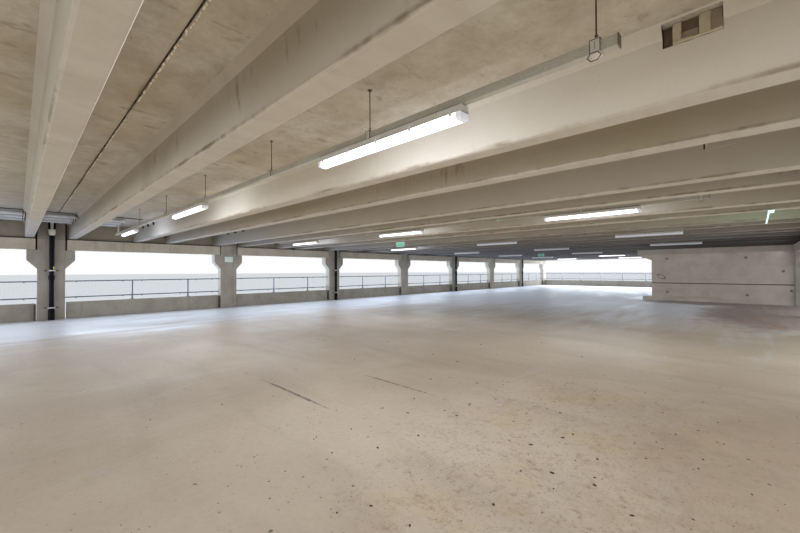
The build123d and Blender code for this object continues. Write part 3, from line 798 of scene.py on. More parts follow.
stirrups, edges = bmesh.new(), bmesh.new()
half_w = TRUNK_W / 2 + 0.002 + STRAP_T
for side in (-1, 1):
    near, far = sorted((side * (half_w - STRAP_T), side * half_w))
    block(stirrups, (-STRAP_W / 2, near, trunk_low.z - 0.002), (STRAP_W / 2, far, crown))
    near, far = sorted((side * (half_w - 0.001), side * (half_w + 0.0012)))
    for x in (-STRAP_W / 2, STRAP_W / 2 - EDGE_W):
        block(edges, (x, near, trunk_low.z), (x + EDGE_W, far, crown))
    block(edges, (-STRAP_W / 2, near, crown - EDGE_W), (STRAP_W / 2, far, crown))
    block(edges, (-0.0008, near, trunk_low.z + 0.018), (0.0008, far, crown - 0.014))
for z in (trunk_low.z - 0.002 - STRAP_T, crown):
    block(stirrups, (-STRAP_W / 2, -half_w, z), (STRAP_W / 2, half_w, z + STRAP_T))
repeated(stirrups, run_places)
repeated(edges, run_places)
piece("hanger_stirrups", stirrups, "galvanised_steel", finish="stirrup_zinc")
piece("hanger_stirrup_edges", edges, "galvanised_steel", finish="aged_rod")

# %% [markdown]
# A loose link hangs below the last stirrup of each run, left for a chain. It is a flat ring of round
# wire with six sides, and it hangs across the view of the aisle.

# %% Links
LINK_W = 0.029
LINK_H = 0.022
LINK_R = 0.0022
LINK_SIDES = 6
links = bmesh.new()
middle = Vector((0, -0.016 - TRUNK_W / 2, trunk_low.z - LINK_H - 0.002))
turns = [2 * pi / LINK_SIDES * i for i in range(LINK_SIDES)]
corners = [middle + Vector((LINK_W * cos(turn), 0, LINK_H * sin(turn))) for turn in turns]
for i, corner in enumerate(corners):
    round_bar(links, corner, corners[(i + 1) % LINK_SIDES], LINK_R, 8)
bmesh.ops.translate(links, vec=(hanger_x[-1], 0, 0), verts=links.verts)
repeated(links, [(0, y, 0) for y in run_lines])
piece("hanger_links", links, "galvanised_steel", finish="aged_rod")

# %% [markdown]
# Guard rails stand behind every parapet and round the deck above: two round tubes on square posts. Each
# post has a foot plate with two bolts, and each rail is held in clips. A fine welded mesh closes the
# space between the rails. One function draws a run along any side, so the inner faces, fittings and mesh
# always keep the same measures as the frame's own rails.

# %% Rail maker
RAIL_R = 0.0194
TUBE_R = 0.0180
RAIL_LEVELS = (0.603, 1.064)
POST_W = 0.040
CLIP_SHIFT = 0.25        # of a rail's clips from each post
MESH_PITCH = 0.075
WIRE_R = 0.0007


def rail_run(bars, fittings, wires, start, step, outward, length, posts, base, level):
    """One run of rails; step and outward are level unit vectors."""
    start, step, outward = Vector(start), Vector(step), Vector(outward)
    for rise in RAIL_LEVELS:
        up = Vector((0, 0, level + rise))
        round_bar(bars, start + up, start + step * length + up, TUBE_R, 14)
    behind = outward * (RAIL_R + POST_W / 2)
    top = level + RAIL_LEVELS[1] + RAIL_R
    for distance in posts:
        foot = start + step * distance + behind
        across = Vector((abs(step.x) + abs(outward.x), abs(step.y) + abs(outward.y), 0))
        half = across * POST_W / 2
        post = block(bars, foot - half + Vector((0, 0, base)), foot + half + Vector((0, 0, top)))
        soften(bars, post, 0.004, 2)
        plate = step * 0.060 + outward * 0.045
        plate = Vector((abs(plate.x), abs(plate.y), 0))
        block(fittings, foot - plate + Vector((0, 0, base)), foot + plate + Vector((0, 0, base + 0.008)))
        for side in (-1, 1):
            bolt = foot + step * side * 0.042 + Vector((0, 0, base + 0.008))
            round_bar(fittings, bolt, bolt + Vector((0, 0, 0.010)), 0.010, 6)
        for rise in RAIL_LEVELS:
            middle = foot - behind + Vector((0, 0, level + rise))
            round_bar(fittings, middle - step * 0.022, middle + step * 0.022, RAIL_R, 14)
    ends = [0.0] + list(posts) + [length]
    for i, distance in enumerate(ends):
        for side in (-1, 1):
            at = distance + side * CLIP_SHIFT
            if 0.1 < at < length - 0.1:
                for rise in RAIL_LEVELS:
                    middle = start + step * at + Vector((0, 0, level + rise - RAIL_R - 0.008))
                    half = Vector((0.014, 0.014, 0.010))
                    block(fittings, middle - half, middle + half)
    low = level + RAIL_LEVELS[0]
    high = level + RAIL_LEVELS[1]
    count = int(length / MESH_PITCH)
    for i in range(1, count):
        foot = start + step * (i * length / count)
        round_bar(wires, foot + Vector((0, 0, low)), foot + Vector((0, 0, high)), WIRE_R, 3)
    rows = int((high - low) / MESH_PITCH)
    for i in range(1, rows):
        up = Vector((0, 0, low + i * (high - low) / rows))
        round_bar(wires, start + up, start + step * length + up, WIRE_R, 3)


print("rail maker ready, levels", RAIL_LEVELS)

# %% [markdown]
# In the storey, a run of rails stands between each pair of outer columns, with two posts, and one runs
# across each gable. The runs are measured from the boxes of the frame's own rails, for which they stand.

# %% Rails of the storey
GABLE_SPACES = 9.5       # between posts, across the span
rail_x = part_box("outer_rails")[1].x - RAIL_R
gable_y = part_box("far_gable_rail")[0].y + RAIL_R
bay_posts = [bay / 3, bay * 2 / 3]
gable_posts = [i * span / GABLE_SPACES for i in range(1, 10)]
parapet_top = floor + PARAPET_H
rails, fittings, wires = bmesh.new(), bmesh.new(), bmesh.new()
for y in lines[:-1]:
    rail_run(rails, fittings, wires, (rail_x, y + COLUMN_W / 2, 0), (0, 1, 0), (-1, 0, 0), bay - COLUMN_W,
             bay_posts, parapet_top, floor)
for side in (-1, 1):
    rail_run(rails, fittings, wires, (outer_face, side * gable_y, 0), (1, 0, 0), (0, side, 0), span,
             gable_posts, parapet_top, floor)
piece("storey_rails", rails, "galvanised_steel", ["outer_rails", "near_gable_rail", "far_gable_rail"])
piece("storey_rail_fittings", fittings, "galvanised_steel")
piece("storey_rail_mesh", wires, "galvanised_steel", finish="strap_zinc")

# %% [markdown]
# On the deck above nothing interrupts the rails, so one run passes all the bays and meets the gable runs
# at two corners. The same function draws them, a storey higher.

# %% Rails of the deck
deck_parapet_top = deck + PARAPET_H
corner_x = rail_x + RAIL_R
corner_y = gable_y + RAIL_R
rails, fittings, wires = bmesh.new(), bmesh.new(), bmesh.new()
deck_posts = [y + corner_y + COLUMN_W / 2 + d for y in lines[:-1] for d in bay_posts]
rail_run(rails, fittings, wires, (rail_x, -corner_y, 0), (0, 1, 0), (-1, 0, 0), 2 * corner_y,
         deck_posts, deck_parapet_top, deck)
for side in (-1, 1):
    rail_run(rails, fittings, wires, (corner_x, side * gable_y, 0), (1, 0, 0), (0, side, 0),
             inner_face - corner_x, [d + outer_face - corner_x for d in gable_posts], deck_parapet_top, deck)
piece("deck_rails", rails, "galvanised_steel",
      ["deck_outer_rail", "deck_near_gable_rail", "deck_far_gable_rail"])
piece("deck_rail_fittings", fittings, "galvanised_steel")
piece("deck_rail_mesh", wires, "galvanised_steel", finish="strap_zinc")

# %% [markdown]
# A rainwater pipe comes down every second column of the outer row. Black cast sockets show as thicker
# rings. The pipe is a turned shape, so a few points of its outline are spun round the pipe's own axis.

# %% Rainwater pipes
LATHE_STEPS = 28


def lathe(mesh, outline, centre):
    """Spins (radius, height) points about an upright axis through centre."""
    verts = [mesh.verts.new((centre[0] + radius, centre[1], height)) for radius, height in outline]
    edges = [mesh.edges.new(pair) for pair in zip(verts, verts[1:])]
    bmesh.ops.spin(mesh, geom=verts + edges, cent=(centre[0], centre[1], 0), axis=(0, 0, 1), angle=2 * pi,
                   steps=LATHE_STEPS, use_merge=True)
    bmesh.ops.remove_doubles(mesh, verts=mesh.verts, dist=0.0001)


pipe_low, pipe_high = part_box("rainwater_pipes")
pipe_x = (pipe_low.x + pipe_high.x) / 2
pipe_lines = lines[1::2]
PIPE_R = 0.055
SOCKET_R = 0.070
FOOT_H = 0.300
COLLAR = (1.108, 1.246)
pipe_outline = [
    (0, floor), (SOCKET_R, floor), (SOCKET_R, floor + FOOT_H - 0.012), (SOCKET_R - 0.008, floor + FOOT_H),
    (PIPE_R, floor + FOOT_H), (PIPE_R, floor + COLLAR[0]), (SOCKET_R - 0.006, floor + COLLAR[0] + 0.004),
    (SOCKET_R, floor + COLLAR[0] + 0.016), (SOCKET_R, floor + COLLAR[1] - 0.016),
    (SOCKET_R - 0.006, floor + COLLAR[1] - 0.004), (PIPE_R, floor + COLLAR[1]), (PIPE_R, pipe_high.z - 0.02),
    (PIPE_R + 0.006, pipe_high.z - 0.016), (PIPE_R + 0.006, pipe_high.z), (0, pipe_high.z),
]
pipes = bmesh.new()
lathe(pipes, pipe_outline, (pipe_x, 0))
repeated(pipes, [(0, y, 0) for y in pipe_lines])
piece("rainwater_downpipes", pipes, "black_pipe", ["rainwater_pipes"])

# %% [markdown]
# A cream bowl with a short spout takes the water from the deck above. It is turned as the pipe is, and
# stands in the pipe's upper end.

# %% Rainwater bowls
BOWL_R = 0.080
SPOUT_R = 0.028
bowl_top = pipe_high.z + 0.169
bowl_outline = [(0, pipe_high.z - 0.004), (0.040, pipe_high.z - 0.002), (0.060, pipe_high.z + 0.014),
                (0.073, pipe_high.z + 0.042), (BOWL_R - 0.003, pipe_high.z + 0.075),
                (BOWL_R - 0.003, bowl_top - 0.02), (BOWL_R, bowl_top - 0.018), (BOWL_R, bowl_top),
                (BOWL_R - 0.006, bowl_top),
                (SPOUT_R + 0.004, bowl_top - 0.012), (SPOUT_R, bowl_top + 0.004), (SPOUT_R, soffit - 0.03),
                (SPOUT_R + 0.012, soffit - 0.026), (SPOUT_R + 0.012, soffit), (0, soffit)]
bowls = bmesh.new()
lathe(bowls, bowl_outline, (pipe_x, 0))
repeated(bowls, [(0, y, 0) for y in pipe_lines])
piece("rainwater_bowls", bowls, "cream_pipe", ["rainwater_hoppers"])

# %% [markdown]
# Two slim black stacks stand behind each bowl and go up into the deck, and the nearest pipe carries a
# bare yellow tag.

# %% Side stacks and tag
STACK_R = 0.022
STACK_SHIFT = 0.056      # of each stack from the pipe's axis
TAG_SIZE = Vector((0.008, 0.024, 0.080))
stacks = bmesh.new()
for side in (-1, 1):
    x, y = outer_face + 0.030, side * STACK_SHIFT
    round_bar(stacks, (x, y, pipe_high.z + 0.02), (x, y, soffit), STACK_R, 16)
repeated(stacks, [(0, y, 0) for y in pipe_lines])
piece("rainwater_side_stacks", stacks, "black_pipe")

tag = bmesh.new()
tag_place = Vector((pipe_x + PIPE_R - 0.002, pipe_lines[0] + 0.026, floor + 1.400))
soften(tag, block(tag, tag_place, tag_place + TAG_SIZE), 0.003, 1)
piece("pipe_tag", tag, "sign_white", finish="tag_yellow")

# %% [markdown]
# The straps are flat bands with ears, and each is bolted to a back plate on the column.

# %% Pipe straps
BRACKET_LEVELS = (0.325, 1.353)
BRACKET_H = 0.030
plate_x = outer_face + 0.008
straps, plates = bmesh.new(), bmesh.new()
for rise in BRACKET_LEVELS:
    z = floor + rise
    block(plates, (outer_face, -0.150, z), (plate_x, 0.150, z + BRACKET_H))
    block(straps, (plate_x, -0.012, z), (pipe_x - PIPE_R, 0.012, z + BRACKET_H))
    ring = [(PIPE_R + 0.001, z), (PIPE_R + 0.006, z), (PIPE_R + 0.006, z + BRACKET_H),
            (PIPE_R + 0.001, z + BRACKET_H), (PIPE_R + 0.001, z)]
    lathe(straps, ring, (pipe_x, 0))
    for side in (-1, 1):
        ear = side * (PIPE_R + 0.016)
        mid = z + BRACKET_H / 2
        block(straps, (pipe_x - 0.006, ear - 0.014, z), (pipe_x + 0.006, ear + 0.014, z + BRACKET_H))
        round_bar(straps, (pipe_x - 0.016, ear, mid), (pipe_x + 0.016, ear, mid), 0.006, 6)
        bolt = Vector((plate_x, side * 0.125, mid))
        round_bar(plates, bolt, bolt + Vector((0.010, 0, 0)), 0.009, 6)
repeated(straps, [(0, y, 0) for y in pipe_lines])
repeated(plates, [(0, y, 0) for y in pipe_lines])
piece("pipe_straps", straps, "galvanised_steel", ["pipe_brackets"], finish="strap_zinc")
piece("pipe_strap_plates", plates, "galvanised_steel", finish="aged_rod")

# %% [markdown]
# Cast concrete leaves its mould with bevelled arrises, since a sharp edge would break off. The frame's
# meshes stay untouched, so a copy is merged, its flat faces are joined into clean polygons, its arrises
# are bevelled, and the copy stands for the unit.

# %% Units with bevelled arrises
def arrised(name, source, width, slot, keep=None, finish=None):
    """A copy of a frame unit with bevelled arrises; keep chooses edges by their ends."""
    copy = bmesh.new()
    copy.from_mesh(node[source].data)
    bmesh.ops.remove_doubles(copy, verts=copy.verts, dist=0.0002)
    bmesh.ops.dissolve_limit(copy, angle_limit=radians(1), verts=copy.verts, edges=copy.edges,
                             use_dissolve_boundaries=False)
    sharp = [e for e in copy.edges if len(e.link_faces) == 2 and e.calc_face_angle(0) > radians(20)
             and (keep is None or keep(e.verts[0].co, e.verts[1].co))]
    bevelled(copy, sharp, width, 1)
    piece(name, copy, slot, [source], crease=20, finish=finish)


arrised("outer_column_castings", "outer_columns", 0.012, "frame_concrete")
arrised("inner_column_castings", "inner_columns", 0.012, "frame_concrete")
arrised("outer_beam_castings", "outer_edge_beams", 0.008, "frame_concrete", finish="beam_concrete_painted_light")
arrised("inner_beam_castings", "inner_edge_beams", 0.008, "frame_concrete", finish="beam_concrete_painted_light")
arrised("outer_parapet_castings", "outer_parapets", 0.008, "frame_concrete")


def under_stem(first, second):
    """True for a long edge along the foot of a stem."""
    return max(first.z, second.z) < stem_foot + 0.001 and abs(first.x - second.x) > 1


for i in range(1, BAYS + 1):
    arrised(f"tee_castings_bay_{i}", f"double_tees_bay_{i}", 0.009, "tee_concrete", under_stem)

# %% [markdown]
# The gaps beside the edge beams are filled with a dark compressible strip, set back from the face. It
# keeps the daylight out of the joint, so the joints read as dark lines. The parapets have one on one
# side of each column; on the other side their gap is open.

# %% Joint fillers
BEAM_GAP = 0.035
FILLER_FACE = 0.170      # from the row's inner face to the strip
PARAPET_FILLER_FACE = 0.030
FILLER_T = 0.030
beam_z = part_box("outer_edge_beams")[0].z
filler = bmesh.new()
for i, y in enumerate(lines):
    for side in (-1, 1):
        if 0 <= i * 2 + side <= 2 * BAYS:
            near, far = sorted((y + side * COLUMN_W / 2, y + side * (COLUMN_W / 2 + BEAM_GAP)))
            x = outer_face - FILLER_FACE
            block(filler, (x - FILLER_T, near, beam_z), (x, far, deck))
            if side < 0:
                x = outer_face - PARAPET_FILLER_FACE
                block(filler, (x - FILLER_T, near - 0.025, floor), (x, far - 0.014, parapet_top - 0.015))
            x = inner_face + FILLER_FACE
            block(filler, (x, near, beam_z), (x + FILLER_T, far, deck))
piece("joint_fillers", filler, "bearing_rubber", finish="joint_strip_and_hollow_shade")

# %% [markdown]
# Three light grey conduits run through the service holes beside the outer row, and a drop feeds the
# trunking. They are round tubes with couplings, and a black cable is clipped to the soffit beside them.

# %% Conduits
conduit_low, conduit_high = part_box("conduits")
HOLE_FIRST = 1.300       # from the outer column face
HOLE_PITCH = 0.600
CONDUIT_R = 0.045
COUPLING_REACH = 0.045
DROP_R = 0.020
CABLE_R = 0.009
hole_x = [outer_face + HOLE_FIRST + i * HOLE_PITCH for i in range(3)]
conduit_z = conduit_high.z - CONDUIT_R
drop_y = run_lines[1]
conduits, cables = bmesh.new(), bmesh.new()
for x in hole_x:
    round_bar(conduits, (x, conduit_low.y, conduit_z), (x, conduit_high.y, conduit_z), CONDUIT_R, 20)
    for y in (lines[0] + 1.9, lines[0] + 3.4, lines[1] + 0.10):
        round_bar(conduits, (x, y - COUPLING_REACH, conduit_z), (x, y + COUPLING_REACH, conduit_z),
                  CONDUIT_R + 0.004, 20)
drop_foot = (hole_x[1], drop_y, trunk_high.z)
round_bar(conduits, drop_foot, (hole_x[1], drop_y, conduit_z), DROP_R, 16)
round_bar(conduits, drop_foot, (hole_x[1], drop_y, trunk_high.z + 0.03), DROP_R + 0.006, 16)
cable_x = hole_x[2] + 0.09
cable_z = soffit - CABLE_R
round_bar(cables, (cable_x, conduit_low.y, cable_z), (cable_x, drop_y + 0.4, cable_z), CABLE_R, 10)
piece("conduit_runs", conduits, "trunking_steel", ["conduits"], finish="conduit_zinc")
piece("soffit_cables", cables, "bearing_rubber", finish="dark_seam_and_shadow")

# %% [markdown]
# Where a conduit enters a stem it has a sleeve: a pale flanged socket, with dark rings of painted shade
# on both sides, which from the aisle reads as a hook shaped rim.

# %% Conduit sleeves
SLEEVE_R = 0.053
STEM_FACE = 0.108        # from a stem's centre to its side, at the level of the conduits
sleeves, rim_shades = bmesh.new(), bmesh.new()
RINGS = ((sleeves, -0.062, -0.040, SLEEVE_R), (sleeves, -0.026, -0.006, SLEEVE_R),
         (rim_shades, -0.040, -0.026, SLEEVE_R - 0.002), (rim_shades, -0.006, 0.010, SLEEVE_R - 0.001))
for stem_y in (tee_lines[1] + STEM_SPREAD / 2, tee_lines[2] - STEM_SPREAD / 2):
    face_y = stem_y - STEM_FACE
    for x in hole_x:
        for mesh, near, far, radius in RINGS:
            round_bar(mesh, (x, face_y + near, conduit_z), (x, face_y + far, conduit_z), radius, 20)
piece("conduit_sleeves", sleeves, "trunking_steel", finish="strap_zinc")
piece("conduit_rim_shades", rim_shades, "bearing_rubber", finish="dark_seam_and_shadow")

# %% [markdown]
# Two exit signs face the aisle: thin lit boxes that hang from a rail on two rods. The faces are left
# bare. Each broad face is inset and sunk a little, and a green field lies in the narrow rim.

# %% Exit signs
EXIT_L = 0.320
EXIT_T = 0.040
EXIT_RIM = 0.014
SIGN_RAIL_H = 0.010
SIGN_DROP = 0.046        # from the top of the rods to the box
SIGN_RISE = 0.034        # from the foot of the frame's own sign to the box
SIGN_X = (-1.457, -1.677)
exit_low, exit_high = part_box("exit_signs")
sign_foot = Vector((0, 0, exit_low.z + SIGN_RISE))
sign_head = Vector((0, 0, exit_high.z - SIGN_DROP))


def sunk(mesh, faces, rim, depth):
    """Insets each of these faces by a rim and sinks it."""
    bmesh.ops.inset_individual(mesh, faces=faces, thickness=rim, depth=-depth)


def sign(mesh, fields, centre, along):
    """A sign box with green fields on both broad faces."""
    centre, along = Vector(centre), Vector(along)
    side = Vector((along.y, along.x, 0))
    half = along * EXIT_L / 2 + side * EXIT_T / 2
    verts = block(mesh, centre - half + sign_foot, centre + half + sign_head)
    mesh.normal_update()
    broad = [f for f in mesh.faces if abs(f.normal.dot(side)) > 0.9 and all(v in verts for v in f.verts)]
    sunk(mesh, broad, 0.006, 0.002)
    rim = Vector((0, 0, EXIT_RIM))
    plate = along * (EXIT_L / 2 - EXIT_RIM) + side * 0.0008
    for turn in (-1, 1):
        face = centre + side * turn * (EXIT_T / 2 - 0.0014)
        block(fields, face - plate + sign_foot + rim, face + plate + sign_head - rim)
    rail = along * (EXIT_L / 2 + 0.010) + side * 0.012
    block(mesh, centre - rail + sign_head, centre + rail + sign_head + Vector((0, 0, SIGN_RAIL_H)))
    for turn in (-1, 1):
        rod = centre + along * turn * (EXIT_L / 2 - 0.05)
        round_bar(mesh, rod + sign_head, rod + Vector((0, 0, exit_high.z)), 0.004, 8)


aisle_stem = tee_lines[5] - STEM_SPREAD / 2
far_stem = tee_lines[9] + STEM_SPREAD / 2
sign_boxes, sign_fields = bmesh.new(), bmesh.new()
for x, stem_y in zip(SIGN_X, (aisle_stem, far_stem)):
    sign(sign_boxes, sign_fields, (x, stem_y, 0), (1, 0, 0))
piece("exit_sign_boxes", sign_boxes, "sign_green", ["exit_signs"], finish="sign_rim")
piece("exit_sign_fields", sign_fields, "sign_green")

# %% [markdown]
# A third sign is seen end on, beside the inner row. Its thin box leans out from the arm that holds it,
# and glows pale along its edge, so it is a plain block that is turned about its upper edge.

# %% Exit sign at the side
SIDE_X = 6.683
SIDE_T = 0.010           # half the box's thickness
SIGN_ARM = 0.060
SIGN_LEAN = radians(10)
side_low, side_high = exit_low.z + 0.020, exit_high.z - 0.022
side_ends = (aisle_stem - EXIT_L / 2, aisle_stem + EXIT_L / 2)
side_box = bmesh.new()
block(side_box, (SIDE_X - SIDE_T, side_ends[0], side_low), (SIDE_X + SIDE_T, side_ends[1], side_high))
bmesh.ops.rotate(side_box, cent=(SIDE_X, aisle_stem, side_high), verts=side_box.verts,
                 matrix=Matrix.Rotation(SIGN_LEAN, 3, "Y"))
block(side_box, (SIDE_X - SIDE_T - 0.002, side_ends[0], side_high - 0.002),
      (SIDE_X + SIGN_ARM, side_ends[1], side_high + 0.012))
piece("exit_sign_lit_end", side_box, "sign_white", finish="sign_lit")

# %% [markdown]
# A small plate on the third column marks the place. Here it is bare: a green block with soft edges and a
# smaller white block in it, which leaves a green border.

# %% Location plate
PLATE_RIM = Vector((0, 0.016, 0.016))
PLATE_PROUD = Vector((0.001, 0, 0))
plate_low, plate_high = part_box("location_plate")
border, face = bmesh.new(), bmesh.new()
soften(border, block(border, plate_low, plate_high), 0.001, 1)
block(face, plate_low + PLATE_RIM, plate_high - PLATE_RIM + PLATE_PROUD)
piece("location_plate_border", border, "sign_green", ["location_plate"])
piece("location_plate_face", face, "sign_white")

# %% [markdown]
# Lifting pockets were left in the cross wall when it was cast. They are drawn as shallow dished
# patches, painted dark for the shade inside the pockets, and they catch a little shadow at the rim.

# %% Wall pockets
POCKETS = ((3.78, 1.83), (6.30, 1.81), (3.78, 0.37), (6.33, 0.34), (7.31, 1.27), (7.51, 0.54))
POCKET_R = 0.046
wall_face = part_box("cross_wall_upper")[0].y
pockets = bmesh.new()
for x, rise in POCKETS:
    z = floor + rise
    round_bar(pockets, (x, wall_face - 0.004, z), (x, wall_face + 0.010, z), POCKET_R, 14)
pockets.normal_update()
sunk(pockets, [f for f in pockets.faces if f.normal.y < -0.9], 0.012, 0.003)
piece("wall_pockets", pockets, "wall_concrete", finish="wall_pocket_shade")

# %% [markdown]
# The stems have a slot near their inner end, where the crane's sling went through. In the nearest aisle
# stem it was packed by hand: tan and brown mortar in bands between hollows, which are painted dark for
# their shade, on a ragged bed. The other slots were closed almost flush, with a small hole left at one end.

# %% Mortar in the stem slots
SLOT_X = inner_face - 1.340
SLOT_L = 0.260
SLOT_H = 0.120
SLOT_ROOF = 0.010        # from the soffit to the slot
slot_low = soffit - SLOT_ROOF - SLOT_H
near_stem = tee_lines[2] + STEM_SPREAD / 2
all_stems = [y + side * STEM_SPREAD / 2 for y in tee_lines for side in (-1, 1)]
other_stems = [y for y in all_stems if abs(y - near_stem) > 0.1]


def packing(name, bands, places, finish, width=0.004):
    """Blocks across a slot: shares of its length from and to, how far the faces lie out, and the height."""
    packed = bmesh.new()
    for start, end, reach, rise in bands:
        verts = block(packed, (SLOT_X + (start - 0.5) * SLOT_L, -reach, slot_low),
                      (SLOT_X + (end - 0.5) * SLOT_L, reach, slot_low + rise))
        soften(packed, verts, width, 1)
    repeated(packed, [(0, y, 0) for y in places])
    piece(name, packed, "tee_concrete", finish=finish)


packing("slot_hollows_painted_shade", ((0.0, 0.20, 0.072, SLOT_H), (0.31, 0.64, 0.086, SLOT_H)), [near_stem],
        "joint_strip_and_hollow_shade")
packing("slot_bands", ((0.18, 0.33, 0.100, SLOT_H), (0.62, 0.81, 0.103, SLOT_H), (0.34, 1.0, 0.106, 0.014),
                       (0.20, 0.52, 0.104, 0.020)), [near_stem], "mortar_mid")
packing("slot_rough", ((0.80, 1.0, 0.098, SLOT_H), (0.33, 0.62, 0.092, 0.060)), [near_stem], "mortar")
packing("slot_plugs", ((0.12, 1.0, 0.099, SLOT_H),), other_stems, "tee_concrete", 0.002)

# %% [markdown]
# The joint between two tees was packed with mortar from above, and some of it has run through: the seam
# is a dark ragged line with pale crumbs beside it. The seam is a grid strip whose edges are pulled in
# and out by noise, and the crumbs are small lumps, each turned and flattened at random. The noise gives
# the same pattern each time, and a seed makes the tosses repeat as well.

# %% Seams between the tees
SEAM_STEP = 0.030
CRUMBS = 340             # tossed for each seam
CRUMB_SHAPE = (3.4, 1.0, 0.5)
SEAM_SEED = 5
seam_low, seam_high = outer_face + 0.02, inner_face - 0.02
seam_l = seam_high - seam_low
seams, crumbs = bmesh.new(), bmesh.new()
noise.seed_set(SEAM_SEED)
for row, tee_y in enumerate(tee_lines[:-1]):
    y = tee_y + tee_w / 2
    grid = bmesh.ops.create_grid(seams, x_segments=int(seam_l / SEAM_STEP), y_segments=2, size=0.5)["verts"]
    for vert in grid:
        edge = round(vert.co.y * 2)
        x = seam_low + (vert.co.x + 0.5) * seam_l
        where = Vector((x * 13.0, row * 7.3 + edge * 2.1, 0))
        coarse = noise.noise(Vector((x * 0.8, row * 3.1, 4.0)))
        sway = 0.006 * noise.noise(Vector((x * 2.5, row * 1.9, 7.0)))
        wide = 0.0016 + 0.013 * max(0.0, noise.noise(where)) ** 1.3 + 0.004 * max(0.0, coarse)
        sag = 0.004 * abs(noise.noise(where * 2.0)) * (1 - abs(edge))
        vert.co = Vector((x, y + sway + edge * wide, soffit - 0.0012 - sag))
    row_crumbs = bmesh.new()
    for i in range(CRUMBS):
        toss = noise.random_unit_vector(size=3)
        x = seam_low + (i + 0.5 + 0.4 * toss.x) * seam_l / CRUMBS
        drift = noise.noise(Vector((x * 1.3, row * 5.7, 9.0)))
        if drift < -0.16:
            continue
        size = 0.0042 + 0.0050 * toss.y ** 2
        lump = bmesh.ops.create_icosphere(row_crumbs, subdivisions=1, radius=size)["verts"]
        bmesh.ops.scale(row_crumbs, vec=CRUMB_SHAPE, verts=lump)
        place = Vector((x, y + 0.009 + 0.010 * abs(toss.z), soffit - 0.001))
        turn = Matrix.Rotation(toss.x * 0.4, 4, "Z")
        bmesh.ops.transform(row_crumbs, matrix=Matrix.Translation(place) @ turn, verts=lump)
    gathered(crumbs, row_crumbs)
piece("tee_seams", seams, "bearing_rubber", finish="dark_seam_and_shadow")
piece("tee_seam_crumbs", crumbs, "tee_concrete", finish="mortar_pale")

# %% [markdown]
# Grit and dry flakes lie about the floor, thicker towards the aisle. They are dirt that the photograph
# shows, so they stay, as small flattened lumps that sink a little into the floor. Every other toss falls
# in the close scatter, and the rest in a wide one.

# %% Grit
FLAKES = 760
HANDFUL = 80
CLOSE = (5.1, 2.4, -12.2, 2.8)           # middle and reach along x, middle and reach along y
WIDE = (2.6, 7.0, -9.6, 7.6)
FLAKE_SHAPE = (1.5, 0.9, 0.4)
GRIT_SEED = 11
grit, handful = bmesh.new(), bmesh.new()
noise.seed_set(GRIT_SEED)
for i in range(FLAKES):
    if i % HANDFUL == HANDFUL - 1:
        gathered(grit, handful)
        handful = bmesh.new()
    toss = noise.random_unit_vector(size=4)
    middle_x, reach_x, middle_y, reach_y = CLOSE if i % 2 else WIDE
    x, y = middle_x + reach_x * toss[0], middle_y + reach_y * toss[1]
    if not outer_face + 0.3 < x < inner_face - 0.2:
        continue
    size = 0.0035 + 0.0110 * toss[2] ** 4
    flake = bmesh.ops.create_icosphere(handful, subdivisions=1, radius=size)["verts"]
    bmesh.ops.scale(handful, vec=FLAKE_SHAPE, verts=flake)
    turn = Matrix.Rotation(toss[3] * pi, 4, "Z")
    bmesh.ops.transform(handful, matrix=Matrix.Translation((x, y, floor)) @ turn, verts=flake)
gathered(grit, handful)
piece("floor_grit", grit, "floor_concrete", finish="grit")

# %% [markdown]
# The open sky is a pale world. The camera, gloss and glass see it plain white, which Light Path tells
# apart, and everything else is lit by its cooler tone.

# %% World
SKY = (0.90, 0.95, 1.0, 1.0)
SKY_STRENGTH = 0.9
world = bpy.data.worlds.new("sky")
bpy.context.scene.world = world
world.use_nodes = True
sky = world.node_tree
path = sky.nodes.new("ShaderNodeLightPath")
lit = sky.nodes["Background"]
lit.inputs["Color"].default_value = SKY
lit.inputs["Strength"].default_value = SKY_STRENGTH
seen = sky.nodes.new("ShaderNodeBackground")
seen.inputs["Color"].default_value = (1.0, 1.0, 1.0, 1.0)
white_to = path.outputs["Is Camera Ray"]
for ray in ("Is Glossy Ray", "Is Transmission Ray"):
    more = sky.nodes.new("ShaderNodeMath")
    more.operation = "MAXIMUM"
    sky.links.new(white_to, more.inputs[0])
    sky.links.new(path.outputs[ray], more.inputs[1])
    white_to = more.outputs[0]
either = sky.nodes.new("ShaderNodeMixShader")
for socket, source in zip(either.inputs, (white_to, lit.outputs[0], seen.outputs[0])):
    sky.links.new(source, socket)
sky.links.new(either.outputs[0], sky.nodes["World Output"].inputs["Surface"])
bpy.context.scene.view_settings.view_transform = "Standard"
print("sky strength", SKY_STRENGTH)

# %% [markdown]
# A covered storey is lit from its open sides and by what the floor and ceiling throw back at each other.
# Broad soft lamps, which the camera doesn't see, stand for both: two below the ceiling, of which one is
# for the further bays alone, two above the floor, and one outside each open side, which gloss may show.
# A small green one is the glow of the sign at the side on the stem beside it.

# %% Soft lamps
DAYLIGHT = (0.64, 0.79, 1.0)
COOL = (0.80, 0.90, 1.0)
PALE_DAYLIGHT = (0.86, 0.93, 1.0)
GREEN_GLOW = (0.45, 1.0, 0.70)
LAMP_BACK = 0.75         # of the daylight lamps, outside the faces that they shine through
LEDGER_DROP = 0.325      # from the foot of the stems to the ledgers' underside


